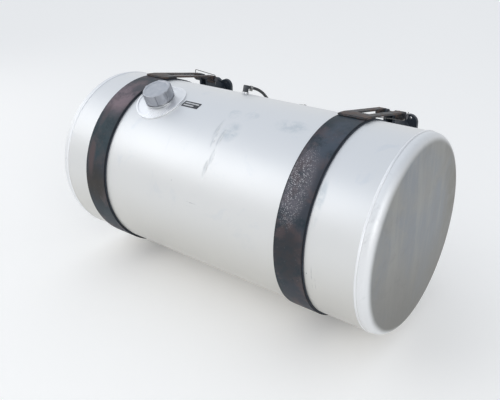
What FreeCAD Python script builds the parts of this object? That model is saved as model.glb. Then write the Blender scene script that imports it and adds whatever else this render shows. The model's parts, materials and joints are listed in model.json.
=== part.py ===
import FreeCAD, Part
import math
import operator
import os
from types import SimpleNamespace

import Sketcher
from FreeCAD import Placement, Rotation, Vector

# Truck fuel tank: a round aluminium tank lying in two brackets, held by two straps.
# +X runs along the tank, +Y towards the frame rail, +Z up. The origin is the middle of
# the bracket bolts, on the face of the rail. Lengths are in millimetres, angles in degrees.

DIMENSIONS = {
    # Tank shell and heads
    "tank_radius": 330.2,
    "tank_shift": 25.5,
    "shell_length": 1280,
    "shell_wall": 3.2,
    "seam_width": 9,
    "seam_height": 2.5,
    "head_wall": 3.2,
    "head_lip": 14,
    "head_straight": 7,
    "knuckle_radius": 28,
    "crown_depth": 6,
    "lip_clearance": 0.2,
    # Baffles
    "baffle_spacing": 420,
    "baffle_sheet": 2.5,
    "baffle_flange": 25,
    "baffle_bend": 6,
    "baffle_clearance": 0.3,
    "baffle_eye_radius": 75,
    "baffle_hole_radius": 38,
    "baffle_hole_circle": 190,
    "baffle_hole_count": 6,
    "baffle_notch_width": 90,
    "baffle_notch_depth": 34,
    # Filler pad, neck and cap
    "filler_from_strap": 163.5,
    "filler_angle": 22,
    "pad_radius": 96,
    "pad_sheet": 3.2,
    "pad_weld_width": 7,
    "pad_weld_height": 5.5,
    "neck_bore_radius": 44,
    "neck_radius": 48,
    "neck_depth": 9,
    "neck_height": 41.5,
    "neck_chamfer": 1.5,
    "collar_radius": 55,
    "collar_height": 4,
    "weld_gap": 0.3,
    "cap_radius": 51.5,
    "cap_skirt": 34,
    "cap_top_sheet": 5,
    "cap_rim_height": 2,
    "cap_rim_width": 7,
    "cap_thread_gap": 1,
    "cap_rib_count": 6,
    "cap_rib_width": 9,
    "cap_rib_height": 3,
    "cap_edge_round": 2,
    "cap_blind_wall": 1,
    "gasket_sheet": 3,
    "gasket_width": 8.4,
    "seal_gap": 0.2,
    "retainer_sheet": 1.2,
    "retainer_lip": 3.2,
    "screw_radius": 3,
    "screw_clearance": 0.08,
    "screw_head_radius": 6,
    "screw_head_height": 3,
    "screw_end_gap": 0.5,
    # Level sender
    "sender_place": 110,
    "sender_angle": 40,
    "boss_radius": 41,
    "boss_bore_radius": 23,
    "boss_height": 4,
    "boss_depth": 6.5,
    "flange_radius": 35,
    "flange_sheet": 4,
    "flange_gasket": 2,
    "flange_screw_circle": 29,
    "flange_screw_count": 5,
    "flange_screw_radius": 2.5,
    "flange_screw_length": 9,
    "flange_screw_head": 4.4,
    "flange_screw_head_height": 3,
    "terminal_radius": 6,
    "terminal_height": 6,
    "terminal_collar_radius": 8,
    "terminal_step": 1.5,
    "stem_width": 12,
    "stem_sheet": 2.5,
    "pivot_height": 56,
    "pivot_radius": 2,
    "pivot_clearance": 0.06,
    "clevis_width": 16,
    "clevis_gap": 8,
    "clevis_radius": 9,
    "clevis_bridge": 6,
    "clevis_pin_end": 2,
    "clevis_pin_head": 1.5,
    "hub_radius": 5,
    "side_clearance": 0.3,
    "float_floor_gap": 54,
    "arm_rest_angle": 14,
    "arm_rod_radius": 2.2,
    "arm_wire_radius": 1.6,
    "float_radius": 22,
    "float_length": 70,
    "float_chamfer": 5,
    "float_axle_end": 3,
    # Fuel draw and return
    "draw_place": -30,
    "return_place": 30,
    "port_angle": 42,
    "port_radius": 16,
    "port_bore_radius": 9,
    "port_bore_start": 2,
    "port_height": 8,
    "port_depth": 5,
    "fitting_across": 24,
    "fitting_hex_height": 8,
    "fitting_nipple_radius": 7,
    "fitting_nipple_height": 7,
    "fitting_bore_radius": 5,
    "tube_radius": 6.5,
    "tube_bore_radius": 4.6,
    "draw_straight": 60,
    "draw_foot_place": 15,
    "draw_foot_height": 30,
    "return_length": 80,
    "strainer_radius": 11,
    "strainer_wall": 1.5,
    "strainer_shoulder": 10,
    "strainer_gap": 2,
    "strainer_length": 45,
    # Vent
    "vent_place": 82,
    "vent_angle": 17.5,
    "vent_outlet_angle": 62,
    "vent_bore_radius": 6,
    "vent_bung_radius": 14,
    "vent_bung_height": 5,
    "vent_block_width": 18,
    "vent_block_height": 25,
    "vent_block_round": 4,
    "vent_outlet_height": 24,
    "barb_radius": 3.5,
    "barb_length": 20,
    "barb_root": 2,
    "barb_tip": 5,
    "barb_taper": 0.6,
    "hose_radius": 5.5,
    "hose_bore_radius": 3.6,
    "hose_lead": 29,
    "clamp_place": 7,
    "clamp_width": 10,
    "clamp_sheet": 1.2,
    "clamp_housing_width": 12,
    "clamp_housing_height": 7,
    # Drain
    "drain_bung_radius": 20,
    "drain_bung_height": 8,
    "drain_bore_radius": 10,
    "drain_across": 27,
    "drain_head_height": 9,
    "drain_washer_sheet": 2,
    # Straps and rubber
    "strap_inset": 203,
    "rubber_width": 107,
    "rubber_sheet": 4,
    "rubber_gap": 0.3,
    "strap_width": 101.6,
    "strap_sheet": 3.2,
    "lead_angle": 11.5,
    "rubber_tail_angle": 29,
    "rubber_end_angle": 2,
    "saddle_rubber_angle": 6,
    "strap_tail": 12,
    "tie_angle": 20,
    "tie_straight": 30,
    "loop_sheet": 4,
    "tee_radius": 7,
    "tee_length": 84,
    "loop_slot": 17,
    # Forked strap ends and their pins
    "fork_sheet": 6,
    "fork_width": 101,
    "fork_leg_width": 28,
    "fork_lap_angle": 9,
    "fork_window_start": 19,
    "fork_window_round": 8,
    "fork_reach": 246,
    "pin_radius": 9.5,
    "pin_clearance": 0.1,
    "pin_overhang": 9,
    "pin_head_radius": 13.5,
    "pin_head_height": 5,
    "clip_wire_radius": 1.6,
    "clip_hole_inset": 4.5,
    "clip_stub": 21,
    "clip_near_rise": 19,
    "clip_far_rise": 29,
    "clip_hook": 14,
    "clip_bend": 5,
    "clip_turn_left": 0,
    "clip_turn_right": 120,
    # Brackets
    "rail_gap": 75.8,
    "plate_sheet": 14,
    "plate_top": 249,
    "ear_radius": 30,
    "ear_place": 27,
    "hang_hole_radius": 5.5,
    "hang_hole_inset": 12,
    "hang_hole_shift": 4,
    "bolt_span": 76,
    "bolt_rows": 178,
    "bolt_inset": 60,
    "bolt_hole_radius": 8.75,
    "saddle_width": 108,
    "saddle_sheet": 9.5,
    "saddle_top_angle": 58,
    "saddle_tip_angle": 6,
    "web_sheet": 12.7,
    "web_hole_radius": 52,
    "web_toe_angle": 6,
    "web_toe_inset": 6,
    "web_top_angle": 2,
    "lug_radius": 15,
    "lug_sheet": 9.5,
    "lug_foot_angle": 10,
    "foot_drop": 61.8,
    "foot_sheet": 9.5,
    "foot_toe": 30,
    "tie_lug_place": 105,
    "tie_lug_sheet": 12,
    "tie_lug_width": 64,
    "tie_lug_drop": 22,
    "gusset_sheet": 8,
    "gusset_length": 82,
    "tie_bolt_radius": 6.35,
    "tie_bolt_end": 36,
    "tie_hole_clearance": 0.6,
    "tie_washer_radius": 15,
    "tie_washer_sheet": 2.5,
    "tie_nut_across": 19,
    "tie_nut_height": 11,
}

# Corners of the vent hose's route: place along the tank from the vent, angle from the top
# towards the back, and height over the shell
HOSE_ROUTE = [
    (21.5, 29.5, 22),
    (13, 36.5, 20),
    (2, 46.5, 20),
    (-8, 59.5, 20),
    (-17, 74, 20),
    (-21.5, 89, 17),
    (-20, 103, 25),
    (-15, 114.5, 47),
    (-10, 122, 66),
]

OPERATIONS = {
    "+": operator.add,
    "-": operator.sub,
    "*": operator.mul,
    "/": operator.truediv,
}


class Size:
    """A number together with the expression of sheet cells that it comes from."""

    def __init__(self, number, text):
        self.number = number
        self.text = text

    def __add__(self, other):
        return combine(self, "+", other)

    def __radd__(self, other):
        return combine(other, "+", self)

    def __sub__(self, other):
        return combine(self, "-", other)

    def __rsub__(self, other):
        return combine(other, "-", self)

    def __mul__(self, other):
        return combine(self, "*", other)

    def __rmul__(self, other):
        return combine(other, "*", self)

    def __truediv__(self, other):
        return combine(self, "/", other)

    def __neg__(self):
        return combine(0, "-", self)


def as_size(value):
    if isinstance(value, Size):
        return value
    return Size(float(value), "(%s)" % value)


def combine(left, sign, right):
    first = as_size(left)
    second = as_size(right)
    number = OPERATIONS[sign](first.number, second.number)
    return Size(number, "(%s %s %s)" % (first.text, sign, second.text))


def sine(angle):
    angle = as_size(angle)
    return Size(math.sin(math.radians(angle.number)), "sin(%s)" % angle.text)


def cosine(angle):
    angle = as_size(angle)
    return Size(math.cos(math.radians(angle.number)), "cos(%s)" % angle.text)


def square_root(value):
    return Size(math.sqrt(value.number), "sqrt(%s)" % value.text)


def on_circle(radius, angle):
    """Point (y, z) at an angle from the top towards the front of a circle about the axis."""
    return -radius * sine(angle), radius * cosine(angle)


DOC = FreeCAD.newDocument("FuelTank")


def fill_sheet():
    """Write the driving dimensions to a spreadsheet and return them as sizes."""
    sheet = DOC.addObject("Spreadsheet::Sheet", "Dims")
    sizes = SimpleNamespace()
    for row, (alias, number) in enumerate(DIMENSIONS.items(), start=1):
        sheet.set("A%d" % row, alias.replace("_", " "))
        sheet.set("B%d" % row, str(number))
        sheet.setAlias("B%d" % row, alias)
        setattr(sizes, alias, Size(float(number), "Dims." + alias))
    DOC.recompute()
    return sizes


D = fill_sheet()

# Places that several pieces share
AXIS_Y = -(D.tank_radius + D.rail_gap + D.plate_sheet)
AXIS_Z = -(D.plate_top - D.bolt_inset - D.bolt_rows / 2)
RUBBER_INNER = D.tank_radius + D.rubber_gap
RUBBER_OUTER = RUBBER_INNER + D.rubber_sheet
STRAP_INNER = RUBBER_OUTER + D.rubber_gap
STRAP_OUTER = STRAP_INNER + D.strap_sheet
SADDLE_OUTER = STRAP_INNER + D.saddle_sheet
FORK_INNER = STRAP_OUTER + D.rubber_gap
FORK_OUTER = FORK_INNER + D.fork_sheet
PLATE_FRONT = D.tank_radius + D.rail_gap
FOOT_Z = -(D.tank_radius + D.foot_drop)
EYE_RADIUS = D.pin_radius + D.pin_clearance + D.fork_sheet
EYE_HEIGHT = FORK_OUTER - EYE_RADIUS
LOOP_RADIUS = D.tee_radius + D.pin_clearance + D.loop_sheet
TIE_HEIGHT = STRAP_INNER + LOOP_RADIUS
PIN_HALF = D.fork_width / 2 + D.side_clearance
CLIP_X = PIN_HALF + D.pin_overhang - D.clip_hole_inset


def bind(item, name, value):
    """Tie a property to its expression, or set it where no cell is in it."""
    item.setExpression(name, as_size(value).text)


def new_body(name, x=0, tilt=0, y=0, z=0):
    """Body with its origin at (y, z) from the tank's axis, turned about X by tilt."""
    body = DOC.addObject("PartDesign::Body", name)
    body.Label = name
    body.Placement = Placement(Vector(), Rotation(Vector(1, 0, 0), 1))
    bind(body, "Placement.Base.x", x)
    bind(body, "Placement.Base.y", AXIS_Y + y)
    bind(body, "Placement.Base.z", AXIS_Z + z)
    bind(body, "Placement.Rotation.Angle", tilt)
    return body


def origin_part(body, role):
    return [item for item in body.Origin.OriginFeatures if item.Role == role][0]


def new_sketch(body, plane, lift=0, rise=0, tilt=0):
    """Sketch on an origin plane, moved along its normal and its own y, turned about X."""
    sketch = body.newObject("Sketcher::SketchObject", body.Name + "_sketch")
    sketch.AttachmentSupport = (origin_part(body, plane), [""])
    sketch.MapMode = "FlatFace"
    axis = Vector(0, 0, 1) if plane == "YZ_Plane" else Vector(1, 0, 0)
    sketch.AttachmentOffset = Placement(Vector(), Rotation(axis, 1))
    bind(sketch, "AttachmentOffset.Base.z", lift)
    bind(sketch, "AttachmentOffset.Base.y", rise)
    bind(sketch, "AttachmentOffset.Rotation.Angle", tilt)
    return sketch


def point(x, y):
    return Vector(as_size(x).number, as_size(y).number, 0)


def arc_between(start, end, radius, turn):
    """Arc of less than half a circle that turns left or right on its way to the end."""
    chord = end - start
    half = chord.Length / 2
    height = math.sqrt(max(radius * radius - half * half, 0))
    left = Vector(-chord.y, chord.x, 0).normalize()
    side = 1 if turn == "left" else -1
    centre = (start + end) * 0.5 + left * (height * side)
    first, last = (start, end) if turn == "left" else (end, start)
    angle_first = math.atan2(first.y - centre.y, first.x - centre.x)
    angle_last = math.atan2(last.y - centre.y, last.x - centre.x)
    return Part.ArcOfCircle(Part.Circle(centre, Vector(0, 0, 1), radius), angle_first, angle_last)


def add_outline(sketch, corners):
    """Closed outline. A corner is (x, y), or (x, y, radius, turn) where an arc ends at it."""
    first_edge = sketch.GeometryCount
    count = len(corners)
    edges = []
    ends = []
    for index, corner in enumerate(corners):
        before = point(*corners[index - 1][:2])
        here = point(*corner[:2])
        if len(corner) == 2:
            edges.append(Part.LineSegment(before, here))
            ends.append((1, 2))
        else:
            edges.append(arc_between(before, here, as_size(corner[2]).number, corner[3]))
            ends.append((1, 2) if corner[3] == "left" else (2, 1))
    sketch.addGeometry(edges, False)
    constraints = []
    values = []
    for index, corner in enumerate(corners):
        edge = first_edge + index
        following = (index + 1) % count
        joint = ("Coincident", edge, ends[index][1], first_edge + following, ends[following][0])
        constraints.append(Sketcher.Constraint(*joint))
        values.append(None)
        for kind, value in (("DistanceX", corner[0]), ("DistanceY", corner[1])):
            value = as_size(value)
            constraints.append(Sketcher.Constraint(kind, -1, 1, edge, ends[index][1], value.number))
            values.append(value)
        if len(corner) > 2:
            radius = as_size(corner[2])
            constraints.append(Sketcher.Constraint("Radius", edge, radius.number))
            values.append(radius)
    add_constraints(sketch, constraints, values)


def add_circle(sketch, x, y, radius):
    x, y, radius = as_size(x), as_size(y), as_size(radius)
    edge = sketch.GeometryCount
    sketch.addGeometry(Part.Circle(point(x, y), Vector(0, 0, 1), radius.number), False)
    constraints = [
        Sketcher.Constraint("DistanceX", -1, 1, edge, 3, x.number),
        Sketcher.Constraint("DistanceY", -1, 1, edge, 3, y.number),
        Sketcher.Constraint("Radius", edge, radius.number),
    ]
    add_constraints(sketch, constraints, [x, y, radius])


def add_constraints(sketch, constraints, values):
    first = sketch.ConstraintCount
    sketch.addConstraint(constraints)
    for index, value in enumerate(values, start=first):
        if value is not None:
            bind(sketch, "Constraints[%d]" % index, value)


def box_outline(left, bottom, right, top):
    return [(left, bottom), (right, bottom), (right, top), (left, top)]


def hexagon(across, x=0, y=0):
    corner = across / math.sqrt(3)
    turns = [30 + 60 * index for index in range(6)]
    return [(x + corner * cosine(turn), y + corner * sine(turn)) for turn in turns]


def pad(body, sketch, length, symmetric=False, reverse=False):
    feature = body.newObject("PartDesign::Pad", body.Name + "_pad")
    feature.Profile = sketch
    feature.SideType = "Symmetric" if symmetric else "One side"
    feature.Reversed = reverse
    bind(feature, "Length", length)
    return feature


def pocket(body, sketch, length, symmetric=False, reverse=False):
    """Cut, and stop with a message where the cut takes nothing away."""
    DOC.recompute()
    before = body.Shape.Volume
    feature = body.newObject("PartDesign::Pocket", body.Name + "_pocket")
    feature.Profile = sketch
    feature.SideType = "Symmetric" if symmetric else "One side"
    feature.Reversed = reverse
    bind(feature, "Length", length)
    DOC.recompute()
    if body.Shape.Volume >= before:
        raise RuntimeError("%s: %s cuts nothing" % (body.Label, feature.Name))
    return feature


def revolve(body, sketch, axis="V_Axis", angle=360, symmetric=False):
    feature = body.newObject("PartDesign::Revolution", body.Name + "_turn")
    feature.Profile = sketch
    feature.ReferenceAxis = (sketch, [axis])
    feature.Midplane = symmetric
    bind(feature, "Angle", angle)
    return feature


def polar_pattern(body, feature, axis, count):
    pattern = body.newObject("PartDesign::PolarPattern", body.Name + "_pattern")
    pattern.Originals = [feature]
    pattern.Axis = (origin_part(body, axis), [""])
    pattern.Angle = 360
    bind(pattern, "Occurrences", count)
    body.Tip = pattern
    return pattern


def turned_body(name, x, tilt, corners):
    """Body turned about its own Z, which points out of the tank."""
    body = new_body(name, x, tilt)
    sketch = new_sketch(body, "XZ_Plane")
    add_outline(sketch, corners)
    revolve(body, sketch)
    return body


def radial_cut(body, x, tilt, radius, depth):
    """Round hole from the axis outwards."""
    sketch = new_sketch(body, "XY_Plane", tilt=tilt)
    add_circle(sketch, x, 0, radius)
    pocket(body, sketch, depth, reverse=True)


CUT_PAST = 10
STRAP_X = D.shell_length / 2 - D.strap_inset
FILLER_X = D.filler_from_strap - STRAP_X - D.tank_shift
VENT_X = -D.vent_place


def build_shell():
    """Rolled cylinder with the raised seam at each end and a hole for each fitting."""
    body = new_body("tank_shell", D.tank_shift)
    inner = D.tank_radius - D.shell_wall
    half = D.shell_length / 2
    seam_arc = (D.seam_width * D.seam_width / 4 + D.seam_height * D.seam_height) / (2 * D.seam_height)
    sketch = new_sketch(body, "XZ_Plane")
    add_outline(sketch, [
        (-half, inner),
        (half, inner),
        (half, D.tank_radius),
        (half - D.seam_width, D.tank_radius, seam_arc, "left"),
        (D.seam_width - half, D.tank_radius),
        (-half, D.tank_radius, seam_arc, "left"),
    ])
    revolve(body, sketch, "H_Axis")
    reach = D.tank_radius + D.seam_height + CUT_PAST
    radial_cut(body, FILLER_X, D.filler_angle, D.neck_radius + D.weld_gap, reach)
    radial_cut(body, D.sender_place, -D.sender_angle, D.boss_radius + D.weld_gap, reach)
    for place in (D.draw_place, D.return_place):
        radial_cut(body, place, -D.port_angle, D.port_radius + D.weld_gap, reach)
    radial_cut(body, VENT_X, -D.vent_angle, D.vent_bung_radius + D.weld_gap, reach)
    radial_cut(body, 0, 180, D.drain_bung_radius + D.weld_gap, reach)


def build_head(name, side):
    """Pressed head: a lip inside the shell, a straight edge, a knuckle and a crown."""
    body = DOC.addObject("PartDesign::Body", name)
    body.Label = name
    turn = 0 if side > 0 else 180
    body.Placement = Placement(Vector(), Rotation(Vector(0, 0, 1), turn))
    bind(body, "Placement.Base.x", D.tank_shift + side * D.shell_length / 2)
    bind(body, "Placement.Base.y", AXIS_Y)
    bind(body, "Placement.Base.z", AXIS_Z)
    lip_outer = D.tank_radius - D.shell_wall - D.lip_clearance
    lip_inner = lip_outer - D.head_wall
    shoulder = D.lip_clearance + D.shell_wall
    rim = D.tank_radius - D.knuckle_radius
    crown_radius = (rim * rim + D.crown_depth * D.crown_depth) / (2 * D.crown_depth)
    reach = crown_radius - D.knuckle_radius
    crown_back = square_root(reach * reach - rim * rim)
    crown_centre = D.head_straight - crown_back

    def blend(radius):
        """Where the knuckle meets the crown, for the knuckle's outer or inner radius."""
        return D.head_straight + crown_back * radius / reach, rim + rim * radius / reach

    inner_knuckle = D.knuckle_radius - D.head_wall
    sketch = new_sketch(body, "XZ_Plane")
    add_outline(sketch, [
        (-D.head_lip, lip_inner),
        (shoulder, lip_inner),
        (shoulder + D.head_wall, D.tank_radius - D.head_wall),
        (D.head_straight, D.tank_radius - D.head_wall),
        (*blend(inner_knuckle), inner_knuckle, "right"),
        (crown_centre + crown_radius - D.head_wall, 0, crown_radius - D.head_wall, "right"),
        (crown_centre + crown_radius, 0),
        (*blend(D.knuckle_radius), crown_radius, "left"),
        (D.head_straight, D.tank_radius, D.knuckle_radius, "left"),
        (D.lip_clearance, D.tank_radius),
        (D.lip_clearance, lip_outer),
        (-D.head_lip, lip_outer),
    ])
    revolve(body, sketch, "H_Axis")


def build_baffle(name, side):
    """Pressed disc with a flange, lightening holes and notches for fuel and air."""
    body = new_body(name, D.tank_shift + side * D.baffle_spacing / 2)
    outer = D.tank_radius - D.shell_wall - D.baffle_clearance
    sheet = D.baffle_sheet
    bend = D.baffle_bend
    sketch = new_sketch(body, "XZ_Plane")
    add_outline(sketch, [
        (0, D.baffle_eye_radius),
        (sheet, D.baffle_eye_radius),
        (sheet, outer - bend),
        (bend, outer - sheet, bend - sheet, "right"),
        (D.baffle_flange, outer - sheet),
        (D.baffle_flange, outer),
        (bend, outer),
        (0, outer - bend, bend, "left"),
    ])
    revolve(body, sketch, "H_Axis")
    notches = new_sketch(body, "YZ_Plane")
    notch = outer - D.baffle_notch_depth
    half = D.baffle_notch_width / 2
    add_outline(notches, box_outline(-half, notch, half, outer + bend))
    add_outline(notches, box_outline(-half, -outer - bend, half, -notch))
    pocket(body, notches, 3 * D.baffle_flange, symmetric=True)
    hole = new_sketch(body, "YZ_Plane")
    add_circle(hole, D.baffle_hole_circle, 0, D.baffle_hole_radius)
    cut = pocket(body, hole, 3 * D.baffle_flange, symmetric=True)
    polar_pattern(body, cut, "X_Axis", D.baffle_hole_count)


# Angle that the pad's blank spans round the tank before its round edge is cut
PAD_SWEEP = 50


def build_filler_pad():
    """Round plate rolled to the tank, with the raised weld around its edge."""
    body = new_body("filler_pad", D.tank_shift + FILLER_X, D.filler_angle)
    bottom = D.tank_radius + D.weld_gap
    depth = D.tank_radius + 3 * D.pad_weld_height

    def curved_sheet(thickness):
        sketch = new_sketch(body, "XZ_Plane")
        half = D.pad_radius + CUT_PAST
        add_outline(sketch, box_outline(-half, bottom, half, bottom + thickness))
        revolve(body, sketch, "H_Axis", PAD_SWEEP, symmetric=True)

    curved_sheet(D.pad_weld_height)
    middle = new_sketch(body, "XY_Plane")
    add_circle(middle, 0, 0, D.pad_radius - D.pad_weld_width)
    pocket(body, middle, depth, reverse=True)
    curved_sheet(D.pad_sheet)
    outside = new_sketch(body, "XY_Plane")
    far = 2 * D.pad_radius
    add_outline(outside, box_outline(-far, -far, far, far))
    add_circle(outside, 0, 0, D.pad_radius)
    pocket(body, outside, depth, reverse=True)
    hole = new_sketch(body, "XY_Plane")
    add_circle(hole, 0, 0, D.neck_radius + D.weld_gap)
    pocket(body, hole, depth, reverse=True)


NECK_TOP = D.tank_radius + D.neck_height
GASKET_BOTTOM = NECK_TOP + D.seal_gap
GASKET_TOP = GASKET_BOTTOM + D.gasket_sheet
CAP_CEILING = GASKET_TOP + D.seal_gap
CAP_DISC = CAP_CEILING + D.cap_top_sheet
CAP_TOP = CAP_DISC + D.cap_rim_height


def build_filler_neck():
    bottom = D.tank_radius - D.neck_depth
    collar = D.tank_radius + D.pad_sheet + 2 * D.weld_gap
    chamfer = D.neck_chamfer
    turned_body("filler_neck", D.tank_shift + FILLER_X, D.filler_angle, [
        (D.neck_bore_radius, bottom),
        (D.neck_radius, bottom),
        (D.neck_radius, collar),
        (D.collar_radius, collar),
        (D.collar_radius, collar + D.collar_height),
        (D.neck_radius, collar + D.collar_height),
        (D.neck_radius, NECK_TOP - chamfer),
        (D.neck_radius - chamfer, NECK_TOP),
        (D.neck_bore_radius, NECK_TOP),
    ])


def build_cap():
    """Die-cast cap with a sunk top, a rounded rim and grip ribs."""
    inner = D.neck_radius + D.cap_thread_gap
    bottom = CAP_CEILING - D.cap_skirt
    rim_inner = D.cap_radius - D.cap_rim_width
    round_radius = D.cap_edge_round
    body = turned_body("cap_shell", D.tank_shift + FILLER_X, D.filler_angle, [
        (inner, bottom),
        (D.cap_radius, bottom),
        (D.cap_radius, CAP_TOP - round_radius),
        (D.cap_radius - round_radius, CAP_TOP, round_radius, "left"),
        (rim_inner, CAP_TOP),
        (rim_inner - D.cap_rim_height, CAP_DISC),
        (0, CAP_DISC),
        (0, CAP_CEILING),
        (inner, CAP_CEILING),
    ])
    rib = new_sketch(body, "XY_Plane", lift=bottom)
    half = D.cap_rib_width / 2
    root = D.cap_rib_height / 2
    foot = half + root
    add_outline(rib, [
        (D.cap_radius - root, -foot),
        (D.cap_radius + D.cap_rib_height, -half),
        (D.cap_radius + D.cap_rib_height, half),
        (D.cap_radius - root, foot),
    ])
    feature = pad(body, rib, CAP_TOP - bottom - round_radius / 2)
    polar_pattern(body, feature, "Z_Axis", D.cap_rib_count)
    hole = new_sketch(body, "XY_Plane", lift=CAP_CEILING)
    add_circle(hole, 0, 0, D.screw_radius + D.screw_clearance)
    pocket(body, hole, D.cap_top_sheet - D.cap_blind_wall, reverse=True)


def build_cap_seal():
    """Gasket, the pressed retainer that holds it, and the screw through the retainer."""
    place = D.tank_shift + FILLER_X
    gasket_inner = D.neck_radius + D.cap_thread_gap - D.gasket_width - D.seal_gap
    turned_body("cap_gasket", place, D.filler_angle, box_outline(
        gasket_inner, GASKET_BOTTOM, gasket_inner + D.gasket_width, GASKET_TOP))
    sheet = D.retainer_sheet
    hub = gasket_inner - D.seal_gap
    hole = D.screw_radius + D.screw_clearance
    lip = GASKET_BOTTOM - D.seal_gap
    turned_body("cap_retainer", place, D.filler_angle, [
        (hole, GASKET_TOP - sheet),
        (hub - sheet, GASKET_TOP - sheet),
        (hub - sheet, lip - sheet),
        (hub + D.retainer_lip, lip - sheet),
        (hub + D.retainer_lip, lip),
        (hub, lip),
        (hub, GASKET_TOP),
        (hole, GASKET_TOP),
    ])
    under = GASKET_TOP - sheet - D.weld_gap
    screw_end = CAP_CEILING + D.cap_top_sheet - D.cap_blind_wall - D.screw_end_gap
    turned_body("cap_screw", place, D.filler_angle, [
        (0, under - D.screw_head_height),
        (D.screw_head_radius, under - D.screw_head_height),
        (D.screw_head_radius, under),
        (D.screw_radius, under),
        (D.screw_radius, screw_end),
        (0, screw_end),
    ])


SENDER_X = D.tank_shift + D.sender_place
BOSS_TOP = D.tank_radius + D.boss_height
FLANGE_BOTTOM = BOSS_TOP + D.flange_gasket
FLANGE_TOP = FLANGE_BOTTOM + D.flange_sheet
PIVOT_Y = D.pivot_height * sine(D.sender_angle)
PIVOT_Z = D.pivot_height * cosine(D.sender_angle)


def screw_circle(body, radius, bottom, depth):
    """Ring of screw holes upwards from a level."""
    hole = new_sketch(body, "XY_Plane", lift=bottom)
    add_circle(hole, D.flange_screw_circle, 0, radius)
    cut = pocket(body, hole, depth, reverse=True)
    polar_pattern(body, cut, "Z_Axis", D.flange_screw_count)


def build_sender_flange():
    """Weld-in boss, gasket and flange, with their screws and the terminal."""
    tilt = -D.sender_angle
    hole = D.flange_screw_radius + D.screw_clearance
    boss = turned_body("sender_boss", SENDER_X, tilt, box_outline(
        D.boss_bore_radius, D.tank_radius - D.boss_depth, D.boss_radius, BOSS_TOP))
    thread = D.flange_screw_length - D.flange_sheet - D.flange_gasket + 1
    screw_circle(boss, hole, BOSS_TOP - thread, thread)
    gasket = turned_body("sender_gasket", SENDER_X, tilt, box_outline(
        D.boss_bore_radius, BOSS_TOP, D.flange_radius, FLANGE_BOTTOM))
    screw_circle(gasket, hole, BOSS_TOP, D.flange_gasket)
    flange = turned_body("sender_flange", SENDER_X, tilt, box_outline(
        0, FLANGE_BOTTOM, D.flange_radius, FLANGE_TOP))
    screw_circle(flange, hole, FLANGE_BOTTOM, D.flange_sheet)
    screws = new_body("sender_screws", SENDER_X, tilt)
    shank = new_sketch(screws, "XY_Plane", lift=FLANGE_TOP - D.flange_screw_length)
    add_circle(shank, D.flange_screw_circle, 0, D.flange_screw_radius)
    shank_pad = pad(screws, shank, D.flange_screw_length)
    head = new_sketch(screws, "XY_Plane", lift=FLANGE_TOP)
    add_circle(head, D.flange_screw_circle, 0, D.flange_screw_head)
    head_pad = pad(screws, head, D.flange_screw_head_height)
    pattern = polar_pattern(screws, shank_pad, "Z_Axis", D.flange_screw_count)
    pattern.Originals = [shank_pad, head_pad]
    stud = D.flange_screw_radius
    turned_body("sender_terminal", SENDER_X, tilt, [
        (0, FLANGE_TOP),
        (D.terminal_collar_radius, FLANGE_TOP),
        (D.terminal_collar_radius, FLANGE_TOP + D.terminal_step),
        (D.terminal_radius, FLANGE_TOP + D.terminal_step),
        (D.terminal_radius, FLANGE_TOP + D.terminal_height - D.terminal_step),
        (stud, FLANGE_TOP + D.terminal_height - D.terminal_step),
        (stud, FLANGE_TOP + D.terminal_height),
        (0, FLANGE_TOP + D.terminal_height),
    ])


def build_sender_unit():
    """Flat stem from the flange down to a clevis, and the pin that the arm turns on."""
    stem = new_body("sender_stem", SENDER_X, -D.sender_angle)
    clevis_top = D.pivot_height + 2 * D.clevis_radius
    section = new_sketch(stem, "XY_Plane", lift=clevis_top)
    half = D.stem_width / 2
    add_outline(section, box_outline(-half, -D.stem_sheet / 2, half, D.stem_sheet / 2))
    pad(stem, section, FLANGE_BOTTOM - clevis_top)

    clevis = new_body("sender_clevis", SENDER_X, -D.sender_angle)
    profile = new_sketch(clevis, "YZ_Plane")
    radius = D.clevis_radius
    add_outline(profile, [
        (-radius, D.pivot_height),
        (0, D.pivot_height - radius, radius, "left"),
        (radius, D.pivot_height, radius, "left"),
        (radius, clevis_top),
        (-radius, clevis_top),
    ])
    pad(clevis, profile, D.clevis_width, symmetric=True)
    slot = new_sketch(clevis, "YZ_Plane")
    add_outline(slot, box_outline(
        -2 * radius, D.pivot_height - 2 * radius, 2 * radius, clevis_top - D.clevis_bridge))
    pocket(clevis, slot, D.clevis_gap, symmetric=True)
    bore = new_sketch(clevis, "YZ_Plane")
    add_circle(bore, 0, D.pivot_height, D.pivot_radius + D.pivot_clearance)
    pocket(clevis, bore, 2 * D.clevis_width, symmetric=True)

    pin = new_body("sender_pin", SENDER_X, -D.sender_angle)
    half_pin = D.clevis_width / 2 + D.clevis_pin_end
    shank = new_sketch(pin, "YZ_Plane", lift=-half_pin)
    add_circle(shank, 0, D.pivot_height, D.pivot_radius)
    pad(pin, shank, 2 * half_pin)
    head = new_sketch(pin, "YZ_Plane", lift=D.clevis_width / 2 + D.side_clearance)
    add_circle(head, 0, D.pivot_height, 2 * D.pivot_radius)
    pad(pin, head, D.clevis_pin_head)


def arm_length():
    """Length that leaves the wanted gap between the lowest float and the tank's wall."""
    reach = D.tank_radius - D.shell_wall - D.float_radius - D.float_floor_gap
    along = PIVOT_Y * sine(D.arm_rest_angle) + PIVOT_Z * cosine(D.arm_rest_angle)
    pivot_square = D.pivot_height * D.pivot_height
    return along + square_root(reach * reach - pivot_square + along * along)


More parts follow.
